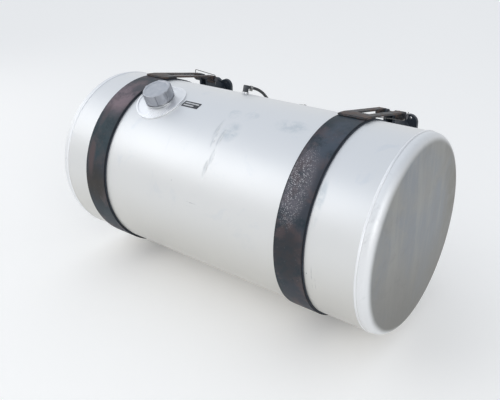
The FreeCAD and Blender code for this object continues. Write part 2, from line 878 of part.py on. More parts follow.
def build_float():
    """Arm and float: the arm hangs from the pivot at its lowest stop."""
    length = arm_length()
    arm = new_body("float_arm", SENDER_X, -D.arm_rest_angle, PIVOT_Y, PIVOT_Z)
    hub = new_sketch(arm, "YZ_Plane")
    add_circle(hub, 0, 0, D.hub_radius)
    pad(arm, hub, D.clevis_gap - 2 * D.side_clearance, symmetric=True)
    rod = new_sketch(arm, "XY_Plane")
    add_circle(rod, 0, 0, D.arm_rod_radius)
    pad(arm, rod, length + D.arm_rod_radius, reverse=True)
    axle = new_sketch(arm, "YZ_Plane")
    add_circle(axle, 0, -length, D.arm_wire_radius)
    pad(arm, axle, D.float_length + D.float_axle_end)
    bore = new_sketch(arm, "YZ_Plane")
    add_circle(bore, 0, 0, D.pivot_radius + D.pivot_clearance)
    pocket(arm, bore, 2 * D.clevis_gap, symmetric=True)

    body = new_body("float", SENDER_X, -D.arm_rest_angle, PIVOT_Y, PIVOT_Z)
    start = D.arm_rod_radius + D.side_clearance
    chamfer = D.float_chamfer
    bore_radius = D.arm_wire_radius + D.pin_clearance
    sketch = new_sketch(body, "XZ_Plane", rise=-length)
    add_outline(sketch, [
        (start, bore_radius),
        (start + D.float_length, bore_radius),
        (start + D.float_length, D.float_radius - chamfer),
        (start + D.float_length - chamfer, D.float_radius, chamfer, "left"),
        (start + chamfer, D.float_radius),
        (start, D.float_radius - chamfer, chamfer, "left"),
    ])
    revolve(body, sketch, "H_Axis")


PORT_TOP = D.tank_radius + D.port_height
TUBE_TOP = D.tank_radius + D.port_bore_start


def build_port(prefix, place):
    """Weld-in bung with a hexagon fitting screwed into it, counterbored for its tube."""
    x = D.tank_shift + place
    bore = D.port_bore_radius
    turned_body(prefix + "_bung", x, -D.port_angle, box_outline(
        bore, D.tank_radius - D.port_depth, D.port_radius, PORT_TOP))
    fitting = new_body(prefix + "_fitting", x, -D.port_angle)
    shank_end = D.tank_radius - D.port_depth + 1
    shank = new_sketch(fitting, "XY_Plane", lift=shank_end)
    add_circle(shank, 0, 0, bore - D.pivot_clearance)
    pad(fitting, shank, PORT_TOP - shank_end)
    hexagon_sketch = new_sketch(fitting, "XY_Plane", lift=PORT_TOP)
    add_outline(hexagon_sketch, hexagon(D.fitting_across))
    pad(fitting, hexagon_sketch, D.fitting_hex_height)
    nipple = new_sketch(fitting, "XY_Plane", lift=PORT_TOP + D.fitting_hex_height)
    add_circle(nipple, 0, 0, D.fitting_nipple_radius)
    pad(fitting, nipple, D.fitting_nipple_height)
    seat = new_sketch(fitting, "XY_Plane", lift=shank_end)
    add_circle(seat, 0, 0, D.tube_radius + D.pin_clearance)
    pocket(fitting, seat, TUBE_TOP - shank_end, reverse=True)
    hole = new_sketch(fitting, "XY_Plane", lift=shank_end)
    add_circle(hole, 0, 0, D.fitting_bore_radius)
    pocket(fitting, hole, 2 * D.port_radius, reverse=True)


def build_draw_tube():
    """Tube from the fitting, bent once, down to the strainer near the bottom."""
    x = D.tank_shift + D.draw_place
    body = new_body("draw_tube", x, -D.port_angle)
    foot_y = D.draw_foot_place
    foot_z = -(D.tank_radius - D.shell_wall - D.draw_foot_height)
    sine_tilt = sine(D.port_angle)
    cosine_tilt = cosine(D.port_angle)
    foot = (foot_y * cosine_tilt - foot_z * sine_tilt, foot_y * sine_tilt + foot_z * cosine_tilt)
    path = new_sketch(body, "YZ_Plane")
    elbow = TUBE_TOP - D.draw_straight
    lines = [
        Part.LineSegment(point(0, TUBE_TOP), point(0, elbow)),
        Part.LineSegment(point(0, elbow), point(*foot)),
    ]
    path.addGeometry(lines, False)
    constraints = [Sketcher.Constraint("Coincident", 0, 2, 1, 1)]
    values = [None]
    places = [(0, 1, 0, TUBE_TOP), (0, 2, 0, elbow), (1, 2, foot[0], foot[1])]
    for edge, end, across, along in places:
        for kind, value in (("DistanceX", across), ("DistanceY", along)):
            value = as_size(value)
            constraints.append(Sketcher.Constraint(kind, -1, 1, edge, end, value.number))
            values.append(value)
    add_constraints(path, constraints, values)
    section = new_sketch(body, "XY_Plane", lift=TUBE_TOP)
    add_circle(section, 0, 0, D.tube_radius)
    add_circle(section, 0, 0, D.tube_bore_radius)
    pipe = body.newObject("PartDesign::AdditivePipe", "draw_tube_pipe")
    pipe.Profile = section
    pipe.Spine = (path, ["Edge1", "Edge2"])
    pipe.Transition = "Round corner"
    return foot, elbow


def build_strainer(foot, elbow):
    """Mesh cup on the lower end of the draw tube, in line with it."""
    across = as_size(foot[0])
    drop = elbow - foot[1]
    lean = math.degrees(math.atan2(across.number, drop.number))
    lean_text = "(atan(%s / %s) / 1 deg)" % (across.text, drop.text)
    tilt = Size(lean, lean_text) - D.port_angle
    foot_z = -(D.tank_radius - D.shell_wall - D.draw_foot_height)
    body = new_body("draw_strainer", D.tank_shift + D.draw_place, tilt, D.draw_foot_place, foot_z)
    bore = D.tube_radius + D.weld_gap
    radius = D.strainer_radius
    wall = D.strainer_wall
    shoulder = D.strainer_length - D.strainer_shoulder
    sketch = new_sketch(body, "XZ_Plane")
    add_outline(sketch, [
        (0, -wall - D.strainer_gap),
        (radius, -wall - D.strainer_gap),
        (radius, shoulder),
        (bore + wall, D.strainer_length),
        (bore, D.strainer_length),
        (bore, shoulder - wall),
        (radius - wall, shoulder - 2 * wall),
        (radius - wall, -D.strainer_gap),
        (0, -D.strainer_gap),
    ])
    revolve(body, sketch)


def build_return_tube():
    turned_body("return_tube", D.tank_shift + D.return_place, -D.port_angle, box_outline(
        D.tube_bore_radius, TUBE_TOP - D.return_length, D.tube_radius, TUBE_TOP))


VENT_TOP = D.tank_radius + D.vent_bung_height
OUTLET_HEIGHT = D.tank_radius + D.vent_outlet_height


def outlet_placement():
    """Frame of the vent fitting: Z out of the tank, X along the hose outlet."""
    base = Vector((D.tank_shift + VENT_X).number, AXIS_Y.number, AXIS_Z.number)
    lean = Rotation(Vector(1, 0, 0), -D.vent_angle.number)
    swing = Rotation(Vector(0, 0, 1), D.vent_outlet_angle.number)
    return Placement(base, lean * swing)


def outlet_body(name):
    body = DOC.addObject("PartDesign::Body", name)
    body.Label = name
    body.Placement = outlet_placement()
    return body


def build_vent():
    """Bung, block with a barbed outlet, and the clamp around the hose."""
    bore = D.vent_bore_radius
    turned_body("vent_bung", D.tank_shift + VENT_X, -D.vent_angle, box_outline(
        bore, D.tank_radius - D.port_depth, D.vent_bung_radius, VENT_TOP))

    block = outlet_body("vent_elbow")
    shank_end = D.tank_radius - D.port_depth + 1
    shank = new_sketch(block, "XY_Plane", lift=shank_end)
    add_circle(shank, 0, 0, bore - D.pivot_clearance)
    pad(block, shank, VENT_TOP - shank_end)
    half = D.vent_block_width / 2
    corner = D.vent_block_round
    body_sketch = new_sketch(block, "XY_Plane", lift=VENT_TOP)
    add_outline(body_sketch, [
        (half - corner, -half),
        (half, corner - half, corner, "left"),
        (half, half - corner),
        (half - corner, half, corner, "left"),
        (corner - half, half),
        (-half, half - corner, corner, "left"),
        (-half, corner - half),
        (corner - half, -half, corner, "left"),
    ])
    pad(block, body_sketch, D.vent_block_height)
    barb = new_sketch(block, "XZ_Plane", rise=OUTLET_HEIGHT)
    ridge = D.hose_bore_radius
    end = half + D.barb_length
    add_outline(barb, [
        (half - D.barb_root, 0),
        (end, 0),
        (end, D.barb_radius - D.barb_taper),
        (end - D.barb_tip, ridge),
        (end - D.barb_tip, D.barb_radius),
        (half - D.barb_root, D.barb_radius),
    ])
    revolve(block, barb, "H_Axis")

    clamp = outlet_body("hose_clamp")
    inner = D.hose_radius + D.weld_gap
    start = half + D.clamp_place
    band = new_sketch(clamp, "XZ_Plane", rise=OUTLET_HEIGHT)
    corners = box_outline(start, inner, start + D.clamp_width, inner + D.clamp_sheet)
    add_outline(band, corners)
    revolve(clamp, band, "H_Axis")
    housing = new_sketch(clamp, "YZ_Plane", lift=start + 1, rise=OUTLET_HEIGHT)
    half_housing = D.clamp_housing_width / 2
    bottom = -inner - D.clamp_housing_height
    add_outline(housing, box_outline(-half_housing, bottom, half_housing, -inner - 0.2))
    pad(clamp, housing, D.clamp_width - 2)


def route_edges(points, name, largest=1000):
    """Straight runs joined by the largest tangent arcs that the runs and the limit allow."""
    edges = []
    start = points[0]
    for index in range(1, len(points) - 1):
        before = points[index] - points[index - 1]
        after = points[index + 1] - points[index]
        half_turn = before.getAngle(after) / 2
        radius = min(0.45 * min(before.Length, after.Length) / math.tan(half_turn), largest)
        cut = radius * math.tan(half_turn)
        print("%s bend %d: radius %.0f mm" % (name, index, radius))
        before.normalize()
        after.normalize()
        arc_start = points[index] - before * cut
        arc_end = points[index] + after * cut
        inward = (after - before).normalize()
        middle = points[index] + inward * (radius / math.cos(half_turn) - radius)
        edges.append(Part.LineSegment(start, arc_start).toShape())
        edges.append(Part.Arc(arc_start, middle, arc_end).toShape())
        start = arc_end
    edges.append(Part.LineSegment(start, points[-1]).toShape())
    return edges


def swept_rod(wire, start, direction, radius):
    circle = Part.makeCircle(radius, start, direction)
    pipe = Part.Wire(wire.Edges)
    return pipe.makePipeShell([Part.Wire([circle])], True, False)


def build_hose():
    """Hose from the barb over the back of the tank, hanging down to its open end."""
    outlet = outlet_placement()
    start_x = (D.vent_block_width / 2 + D.weld_gap).number
    lead_x = start_x + D.hose_lead.number
    start = outlet.multVec(Vector(start_x, 0, OUTLET_HEIGHT.number))
    lead = outlet.multVec(Vector(lead_x, 0, OUTLET_HEIGHT.number))
    points = [start, lead]
    for along, angle, height in HOSE_ROUTE:
        radius = D.tank_radius.number + height
        turn = Rotation(Vector(1, 0, 0), -angle)
        points.append(outlet.Base + Vector(along, 0, 0) + turn.multVec(Vector(0, 0, radius)))
    wire = Part.Wire(route_edges(points, "hose"))
    direction = lead - start
    outer = swept_rod(wire, start, direction, D.hose_radius.number)
    inner = swept_rod(wire, start, direction, D.hose_bore_radius.number)
    hose = outer.cut(inner)
    ring = D.hose_radius.number ** 2 - D.hose_bore_radius.number ** 2
    expected = math.pi * ring * wire.Length
    print("hose length %.0f mm, volume off by %.4f" % (wire.Length, hose.Volume / expected - 1))
    feature = DOC.addObject("Part::Feature", "vent_hose")
    feature.Label = "vent_hose"
    feature.Shape = hose
    feature.Placement = Placement()


def build_drain():
    """Bung at the lowest point, with a plug and its washer."""
    bore = D.drain_bore_radius
    bung_end = D.tank_radius + D.drain_bung_height
    inside = D.tank_radius - D.port_depth
    turned_body("drain_bung", D.tank_shift, 180, box_outline(
        bore, inside, D.drain_bung_radius, bung_end))
    washer_end = bung_end + D.drain_washer_sheet
    turned_body("drain_washer", D.tank_shift, 180, box_outline(
        bore + D.pin_clearance, bung_end, D.drain_across / 2, washer_end))
    plug = new_body("drain_plug", D.tank_shift, 180)
    shank = new_sketch(plug, "XY_Plane", lift=inside + 1)
    add_circle(shank, 0, 0, bore - D.pivot_clearance)
    pad(plug, shank, washer_end - inside - 1)
    head = new_sketch(plug, "XY_Plane", lift=washer_end)
    add_outline(head, hexagon(D.drain_across))
    pad(plug, head, D.drain_head_height)


def band_outline(inner, outer, angles):
    """Curved band between two radii, from the first angle to the last, in short arcs."""
    corners = [on_circle(inner, angles[0]), on_circle(outer, angles[0])]
    for angle in angles[1:]:
        corners.append((*on_circle(outer, angle), outer, "left"))
    corners.append(on_circle(inner, angles[-1]))
    for angle in reversed(angles[:-1]):
        corners.append((*on_circle(inner, angle), inner, "right"))
    return corners[1:]


def between(first, last, pieces):
    first, last = as_size(first), as_size(last)
    return [first + (last - first) * step / pieces for step in range(pieces + 1)]


def build_strap_rubber(name, x):
    """Strip between strap and tank; its upper end runs on where the strap leaves."""
    body = new_body(name, x)
    angles = between(-D.rubber_tail_angle, 180 - D.tie_angle + D.rubber_end_angle, 3)
    sketch = new_sketch(body, "YZ_Plane")
    add_outline(sketch, band_outline(RUBBER_INNER, RUBBER_OUTER, angles))
    pad(body, sketch, D.rubber_width, symmetric=True)


def build_saddle_rubber(name, x):
    body = new_body(name, x)
    angles = between(180 - D.saddle_rubber_angle, 360 - D.saddle_top_angle, 2)
    sketch = new_sketch(body, "YZ_Plane")
    add_outline(sketch, band_outline(RUBBER_INNER, RUBBER_OUTER, angles))
    pad(body, sketch, D.rubber_width, symmetric=True)


def build_strap(name, x):
    """Steel band: straight off the tank at the top, round the front, a loop at the end."""
    body = new_body(name, x, -D.lead_angle)
    wrap = 180 - D.tie_angle + D.lead_angle
    angles = between(0, wrap, 3)
    corners = band_outline(STRAP_INNER, STRAP_OUTER, angles)
    tail = [(D.strap_tail, STRAP_INNER), (D.strap_tail, STRAP_OUTER)]
    sketch = new_sketch(body, "YZ_Plane")
    add_outline(sketch, corners[1:] + tail + corners[:1])
    pad(body, sketch, D.strap_width, symmetric=True)
    tilt = D.lead_angle - D.tie_angle
    run = new_sketch(body, "YZ_Plane", tilt=tilt)
    add_outline(run, box_outline(0, -STRAP_OUTER, D.tie_straight, -STRAP_INNER))
    pad(body, run, D.strap_width, symmetric=True)
    loop = new_sketch(body, "YZ_Plane", tilt=tilt)
    add_circle(loop, D.tie_straight, -TIE_HEIGHT, LOOP_RADIUS)
    add_circle(loop, D.tie_straight, -TIE_HEIGHT, D.tee_radius + D.pin_clearance)
    pad(body, loop, D.strap_width, symmetric=True)
    slot = new_sketch(body, "YZ_Plane", tilt=tilt)
    slot_end = D.tie_straight + 2 * LOOP_RADIUS
    slot_half = D.tie_bolt_radius + 2
    add_outline(slot, box_outline(
        D.tie_straight, -TIE_HEIGHT - slot_half, slot_end, slot_half - TIE_HEIGHT))
    pocket(body, slot, D.loop_slot, symmetric=True)


def build_fork(name, x):
    """Thick end piece on top of the band; two legs run on to eyes around the pin."""
    body = new_body(name, x, -D.lead_angle)
    sketch = new_sketch(body, "YZ_Plane")
    add_outline(sketch, [
        on_circle(FORK_INNER, D.fork_lap_angle),
        (0, FORK_INNER, FORK_INNER, "right"),
        (D.fork_reach, FORK_INNER),
        (D.fork_reach, FORK_OUTER),
        (0, FORK_OUTER),
        (*on_circle(FORK_OUTER, D.fork_lap_angle), FORK_OUTER, "left"),
    ])
    pad(body, sketch, D.fork_width, symmetric=True)
    eye = new_sketch(body, "YZ_Plane")
    add_circle(eye, D.fork_reach, EYE_HEIGHT, EYE_RADIUS)
    pad(body, eye, D.fork_width, symmetric=True)
    bore = new_sketch(body, "YZ_Plane")
    add_circle(bore, D.fork_reach, EYE_HEIGHT, D.pin_radius + D.pin_clearance)
    pocket(body, bore, 2 * D.fork_width, symmetric=True)
    window = new_sketch(body, "XY_Plane", lift=EYE_HEIGHT - 2 * EYE_RADIUS)
    half = D.fork_width / 2 - D.fork_leg_width
    corner = D.fork_window_round
    far = D.fork_reach + 2 * EYE_RADIUS
    add_outline(window, [
        (half - corner, D.fork_window_start),
        (half, D.fork_window_start + corner, corner, "left"),
        (half, far),
        (-half, far),
        (-half, D.fork_window_start + corner),
        (corner - half, D.fork_window_start, corner, "left"),
    ])
    pocket(body, window, 4 * EYE_RADIUS, reverse=True)


def pin_centre():
    """Pin's place (y, z) from the tank's axis."""
    lead_sine = sine(D.lead_angle)
    lead_cosine = cosine(D.lead_angle)
    return (
        D.fork_reach * lead_cosine + EYE_HEIGHT * lead_sine,
        EYE_HEIGHT * lead_cosine - D.fork_reach * lead_sine,
    )


def build_fork_pin(side, x, turn):
    """Headed pin through both eyes and the bracket's lugs, with a cross hole in its end."""
    pin = new_body("fork_pin_" + side, x, turn, *pin_centre())
    shank = new_sketch(pin, "YZ_Plane", lift=-PIN_HALF)
    add_circle(shank, 0, 0, D.pin_radius)
    pad(pin, shank, 2 * PIN_HALF + D.pin_overhang)
    head = new_sketch(pin, "YZ_Plane", lift=-PIN_HALF)
    add_circle(head, 0, 0, D.pin_head_radius)
    pad(pin, head, D.pin_head_height, reverse=True)
    hole = new_sketch(pin, "XY_Plane")
    add_circle(hole, CLIP_X, 0, D.clip_wire_radius + D.pin_clearance)
    pocket(pin, hole, 4 * D.pin_radius, symmetric=True)


def build_pin_clip(side, x, turn):
    """Spring wire through the pin's cross hole, back along the pin, hooked over its head."""
    near = CLIP_X.number
    far = -(PIN_HALF + D.pin_head_height + D.clip_wire_radius + D.side_clearance).number
    points = [
        Vector(near, 0, -D.clip_stub.number),
        Vector(near, 0, D.clip_near_rise.number),
        Vector(far, 0, D.clip_far_rise.number),
        Vector(far, 0, D.clip_hook.number),
    ]
    wire = Part.Wire(route_edges(points, "clip", D.clip_bend.number))
    pin_y, pin_z = pin_centre()
    place = Vector(as_size(x).number, (AXIS_Y + pin_y).number, (AXIS_Z + pin_z).number)
    feature = DOC.addObject("Part::Feature", "pin_clip_" + side)
    feature.Label = "pin_clip_" + side
    feature.Shape = swept_rod(wire, points[0], Vector(0, 0, 1), D.clip_wire_radius.number)
    feature.Placement = Placement(place, Rotation(Vector(1, 0, 0), as_size(turn).number))


def build_bracket(name, x):
    """Back plate on the rail, web, saddle, foot, and the lugs for pin and T-bolt."""
    body = new_body(name, x)
    add_back_plate(body)
    saddle = new_sketch(body, "YZ_Plane")
    angles = between(180 - D.saddle_tip_angle, 360 - D.saddle_top_angle, 2)
    add_outline(saddle, band_outline(STRAP_INNER, SADDLE_OUTER, angles))
    pad(body, saddle, D.saddle_width, symmetric=True)
    add_web(body)
    add_pin_lugs(body)
    foot = new_sketch(body, "XY_Plane", lift=FOOT_Z)
    half = D.saddle_width / 2
    add_outline(foot, box_outline(-half, D.foot_toe, half, PLATE_FRONT + D.plate_sheet))
    pad(body, foot, D.foot_sheet)
    add_tie_lug(body)


def add_back_plate(body):
    """Plate with two round ears at its top, a hang hole in each, and the rail bolt holes."""
    wide = D.ear_place + D.ear_radius
    ear_z = D.plate_top - D.ear_radius
    inset = D.ear_radius * sine(45)
    sketch = new_sketch(body, "XZ_Plane", lift=-PLATE_FRONT)
    add_outline(sketch, [
        (wide, FOOT_Z),
        (wide, ear_z),
        (D.ear_place - inset, ear_z + inset, D.ear_radius, "left"),
        (inset - D.ear_place, ear_z + inset),
        (-wide, ear_z, D.ear_radius, "left"),
        (-wide, FOOT_Z),
    ])
    pad(body, sketch, D.plate_sheet, reverse=True)
    holes = new_sketch(body, "XZ_Plane", lift=-PLATE_FRONT)
    upper = D.plate_top - D.bolt_inset
    for side in (-1, 1):
        for level in (upper, upper - D.bolt_rows):
            add_circle(holes, side * D.bolt_span / 2, level, D.bolt_hole_radius)
        hang_place = side * (D.ear_place + D.hang_hole_shift)
        add_circle(holes, hang_place, D.plate_top - D.hang_hole_inset, D.hang_hole_radius)
    pocket(body, holes, 3 * D.plate_sheet, symmetric=True)


def add_web(body):
    """Upright web between saddle, plate and foot, with a lightening hole."""
    middle = STRAP_INNER + D.saddle_sheet / 2
    top_angle = D.saddle_top_angle + D.web_top_angle
    angles = between(180 + D.web_toe_angle, 360 - top_angle, 2)
    back = PLATE_FRONT + D.plate_sheet / 2
    sketch = new_sketch(body, "YZ_Plane")
    add_outline(sketch, [
        (D.foot_toe + D.web_toe_inset, FOOT_Z + D.foot_sheet / 2),
        (back, FOOT_Z + D.foot_sheet / 2),
        (back, middle * cosine(top_angle)),
        on_circle(middle, angles[2]),
        (*on_circle(middle, angles[1]), middle, "right"),
        (*on_circle(middle, angles[0]), middle, "right"),
    ])
    pad(body, sketch, D.web_sheet, symmetric=True)
    hole = new_sketch(body, "YZ_Plane")
    corner_y = (PLATE_FRONT + middle * sine(45)) / 2
    corner_z = (FOOT_Z - middle * cosine(45)) / 2
    add_circle(hole, corner_y, corner_z, D.web_hole_radius)
    pocket(body, hole, 2 * D.web_sheet, symmetric=True)


def add_pin_lugs(body):
    """Two upright plates that fill the fork's gap, from the saddle's end to the back plate."""
    middle = STRAP_INNER + D.saddle_sheet / 2
    pin_y, pin_z = pin_centre()
    front = pin_y - D.lug_radius
    back = PLATE_FRONT + D.plate_sheet / 2
    seat_z = square_root(middle * middle - front * front)
    foot_y, foot_z = on_circle(middle, -(D.saddle_top_angle + D.lug_foot_angle))
    outer = D.fork_width / 2 - D.fork_leg_width - D.side_clearance
    for side in (-1, 1):
        place = side * (outer - D.lug_sheet / 2)
        sketch = new_sketch(body, "YZ_Plane", lift=place)
        add_outline(sketch, [
            (front, seat_z),
            (foot_y, foot_z),
            (back, foot_z),
            (back, D.plate_top - D.ear_radius),
            (pin_y, pin_z + D.lug_radius),
            (front, pin_z),
        ])
        pad(body, sketch, D.lug_sheet, symmetric=True)
        lug = new_sketch(body, "YZ_Plane", lift=place)
        add_circle(lug, pin_y, pin_z, D.lug_radius)
        pad(body, lug, D.lug_sheet, symmetric=True)
    bore = new_sketch(body, "YZ_Plane")
    add_circle(bore, pin_y, pin_z, D.pin_radius + D.pin_clearance)
    pocket(body, bore, D.fork_width, symmetric=True)


def add_tie_lug(body):
    """Lug across the T-bolt at the saddle's tip, with a gusset each side of the nut."""
    tilt = -D.tie_angle
    front = D.tie_lug_place - D.tie_lug_sheet / 2
    back = front + D.tie_lug_sheet
    bottom = -TIE_HEIGHT - D.tie_lug_drop
    top = -square_root(SADDLE_OUTER * SADDLE_OUTER - front * front) + D.saddle_sheet / 3
    lug = new_sketch(body, "YZ_Plane", tilt=tilt)
    add_outline(lug, box_outline(front, bottom, back, top))
    pad(body, lug, D.tie_lug_width, symmetric=True)
    for side in (-1, 1):
        edge = side * D.tie_lug_width / 2
        gusset = new_sketch(body, "YZ_Plane", lift=edge, tilt=tilt)
        rear = back + D.gusset_length
        rear_top = -square_root(SADDLE_OUTER * SADDLE_OUTER - rear * rear) + D.saddle_sheet / 3
        foot_drop = (D.gusset_length + D.tie_lug_sheet) * sine(D.tie_angle)
        add_outline(gusset, [
            (front + 1, bottom),
            (rear, bottom + foot_drop),
            (rear, rear_top),
            (front + 1, top),
        ])
        pad(body, gusset, D.gusset_sheet, reverse=side > 0)
    hole = new_sketch(body, "XZ_Plane", lift=-(front - 5), tilt=0)
    hole.AttachmentOffset = Placement(Vector(), Rotation(Vector(1, 0, 0), 1))
    bind(hole, "AttachmentOffset.Rotation.Angle", tilt)
    bind(hole, "AttachmentOffset.Base.z", 0)
    add_circle(hole, 0, -TIE_HEIGHT, D.tie_bolt_radius + D.tie_hole_clearance)
    pocket(body, hole, back + 3, reverse=False)


def build_tension(side, x):
    """T-bolt in the strap's loop, with the washer and nut behind the bracket's lug."""
    tilt = -D.tie_angle
    lug_back = D.tie_lug_place + D.tie_lug_sheet / 2
    washer_back = lug_back + D.tie_washer_sheet
    bolt = new_body("tension_bolt_" + side, x, tilt)
    bar = new_sketch(bolt, "YZ_Plane")
    add_circle(bar, D.tie_straight, -TIE_HEIGHT, D.tee_radius)
    pad(bolt, bar, D.tee_length, symmetric=True)
    shank = new_sketch(bolt, "XZ_Plane", lift=-D.tie_straight)
    add_circle(shank, 0, -TIE_HEIGHT, D.tie_bolt_radius)
    pad(bolt, shank, D.tie_lug_place + D.tie_bolt_end - D.tie_straight, reverse=True)

    washer = new_body("tension_washer_" + side, x, tilt)
    ring = new_sketch(washer, "XZ_Plane", lift=-lug_back)
    add_circle(ring, 0, -TIE_HEIGHT, D.tie_washer_radius)
    add_circle(ring, 0, -TIE_HEIGHT, D.tie_bolt_radius + D.pin_clearance)
    pad(washer, ring, D.tie_washer_sheet, reverse=True)

    nut = new_body("tension_nut_" + side, x, tilt)
    block = new_sketch(nut, "XZ_Plane", lift=-washer_back)
    add_outline(block, hexagon(D.tie_nut_across, 0, -TIE_HEIGHT))
    add_circle(block, 0, -TIE_HEIGHT, D.tie_bolt_radius + D.pivot_clearance)
    pad(nut, block, D.tie_nut_height, reverse=True)


def build_all():
    build_shell()
    for name, side in (("left", -1), ("right", 1)):
        build_head("head_" + name, side)
        build_baffle("baffle_" + name, side)
    build_filler_pad()
    build_filler_neck()
    build_cap()
    build_cap_seal()
    build_sender_flange()
    build_sender_unit()
    build_float()
    build_port("draw", D.draw_place)
    build_port("return", D.return_place)
    foot, elbow = build_draw_tube()
    build_strainer(foot, elbow)
    build_return_tube()
    build_vent()
    build_hose()
    build_drain()
    turns = {"left": D.clip_turn_left, "right": D.clip_turn_right}
    for name, side in (("left", -1), ("right", 1)):
        x = side * STRAP_X
        build_bracket("bracket_" + name, x)
        build_saddle_rubber("saddle_rubber_" + name, x)
        build_strap_rubber("strap_rubber_" + name, x)
        build_strap("strap_" + name, x)
        build_fork("strap_fork_" + name, x)
        build_fork_pin(name, x, turns[name])
        build_pin_clip(name, x, turns[name])
        build_tension(name, x)


def check_and_export():
    """Stop on any failed object or bad shape, then write one file for each piece."""
    DOC.recompute()
    for item in DOC.Objects:
        if "Invalid" in item.State or "Error" in item.State:
            raise RuntimeError("%s (%s) failed: %s" % (item.Name, item.Label, item.State))
    pieces = [item for item in DOC.Objects if item.TypeId == "PartDesign::Body"]
    pieces += [item for item in DOC.Objects if item.TypeId == "Part::Feature"]
    for piece in pieces:
        if piece.Shape.isNull() or not piece.Shape.isValid() or not piece.Shape.Solids:
            raise RuntimeError("%s has no valid solid" % piece.Label)
    os.makedirs("parts", exist_ok=True)
    for piece in pieces:
        piece.Shape.exportStep("parts/%s.step" % piece.Label)
    print("%d pieces written" % len(pieces))


build_all()
check_and_export()
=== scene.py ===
"""Looks of the truck fuel tank: camera, light, materials and the fine pieces."""

import json
import math
from types import SimpleNamespace

import bpy
from mathutils import Matrix, Vector


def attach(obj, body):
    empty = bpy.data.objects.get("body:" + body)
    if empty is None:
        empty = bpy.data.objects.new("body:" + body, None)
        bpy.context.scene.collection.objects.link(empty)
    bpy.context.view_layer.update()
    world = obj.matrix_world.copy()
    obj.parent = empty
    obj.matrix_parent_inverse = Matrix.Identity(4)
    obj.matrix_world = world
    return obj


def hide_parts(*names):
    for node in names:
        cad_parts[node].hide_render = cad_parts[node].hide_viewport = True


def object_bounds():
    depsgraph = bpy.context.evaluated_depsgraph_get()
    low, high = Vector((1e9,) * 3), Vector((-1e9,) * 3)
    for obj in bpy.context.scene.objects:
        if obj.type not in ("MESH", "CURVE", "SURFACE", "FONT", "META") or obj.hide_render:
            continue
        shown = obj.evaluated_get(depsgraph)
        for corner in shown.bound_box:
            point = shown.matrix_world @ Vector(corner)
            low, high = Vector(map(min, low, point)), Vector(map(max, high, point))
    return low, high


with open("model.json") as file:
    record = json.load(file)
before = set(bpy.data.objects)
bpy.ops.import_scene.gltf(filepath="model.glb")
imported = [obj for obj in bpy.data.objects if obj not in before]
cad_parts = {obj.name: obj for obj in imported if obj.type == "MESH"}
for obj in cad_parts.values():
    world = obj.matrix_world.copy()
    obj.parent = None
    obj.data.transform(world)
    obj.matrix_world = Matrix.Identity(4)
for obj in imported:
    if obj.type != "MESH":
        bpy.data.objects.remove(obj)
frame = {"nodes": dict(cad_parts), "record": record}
NODES = frame["nodes"]
JOINTS = {joint["name"]: joint for joint in frame["record"]["behaviour"]["joints"]}
CAD_LOW, CAD_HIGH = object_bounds()

# Lengths are in metres and angles in degrees, where nothing else is said.
# Sizes that the looks share with the solids
AXIS_Y = -0.420
AXIS_Z = -0.100
TANK_RADIUS = 0.3302
TANK_MIDDLE = 0.0255
FLOOR_Z = CAD_LOW.z
CAP_AXIS = JOINTS["cap_turn"]["axis"]

# Camera, fitted to the photograph: sensor and lens in millimetres, roll in radians
SENSOR_WIDTH = 36
LENS = 43.71
CLIP_NEAR = 0.05
CLIP_FAR = 60
CAMERA_PLACE = (1.3082, -2.0493, 0.8417)
CAMERA_FORWARD = (-0.5537, 0.7093, -0.4362)
CAMERA_ROLL = -0.0144

# Floor: its glow shows only in its own picture and in what mirrors it or lets it through
FLOOR_HALF = 16
FLOOR_DROP = 0.0005
FLOOR_COLOUR = (0.94, 0.925, 0.90)
FLOOR_ROUGH = 0.9
FLOOR_SPECULAR = 0.1
FLOOR_GLOW = 0.13

# World: strength on its bright and on its dim side, and how far towards X each begins,
# then its colour low down and high up, and the heights between which these blend
WORLD_BRIGHT = 0.90
WORLD_DIM = 0.55
WORLD_SIDES = (-0.6, 0.9)
SKY_LOW = (1.0, 1.0, 0.99)
SKY_HIGH = (0.895, 0.95, 1.03)
SKY_RISE = (0.05, 0.70)

# Lamps, each facing the tank's middle from its own direction
WARM = (1.0, 0.985, 0.955)
WHITE = (1.0, 1.0, 1.0)
LAMPS = {
    "key": {
        "direction": (-0.52, -0.64, 0.56),
        "distance": 4.2,
        "size": (3.0, 2.2),
        "watts": 15,
        "colour": WARM,
    },
    "fill": {
        "direction": (0.80, -0.60, 0.48),
        "distance": 4.4,
        "size": (2.2, 1.6),
        "watts": 34,
        "colour": WHITE,
    },
    "side": {
        "direction": (-0.93, -0.10, 0.36),
        "distance": 4.4,
        "size": (1.8, 1.8),
        "watts": 9,
        "colour": WARM,
    },
}

# Marks on the shell: middle along the tank and round it from the top, then half sizes
SCUFFS = [
    ((0.062, 0.112), (0.030, 0.030)),
    ((0.128, 0.100), (0.034, 0.024)),
    ((0.292, 0.108), (0.075, 0.040)),
    ((0.505, 0.335), (0.018, 0.090)),
    ((0.100, 0.190), (0.045, 0.050)),
]
SCRATCHES = [
    ((0.517, 0.570), (0.0016, 0.050)),
    ((0.529, 0.590), (0.0012, 0.030)),
    ((0.037, 0.461), (0.030, 0.0016)),
    ((0.020, 0.475), (0.022, 0.0012)),
]
CREASES = [
    ((0.047, 0.186), (0.0075, 0.050)),
    ((0.058, 0.230), (0.0075, 0.036)),
    ((0.079, 0.218), (0.0070, 0.044)),
    ((0.083, 0.292), (0.0090, 0.040)),
    ((0.072, 0.338), (0.0080, 0.040)),
]
CREASE_DEPTH = 0.0018
# Height over the shell where the seam welds' look begins and where it is full, and the
# radians of their ripples to a metre of arc
WELD_RISE = (0.0004, 0.0012)
WELD_RIPPLES = 1500
# Arcs from the top, either way, between which the shell takes on painted shade and a painted
# warm floor reflection low down
UNDERSIDE_SHADE = (0.34, 0.66)
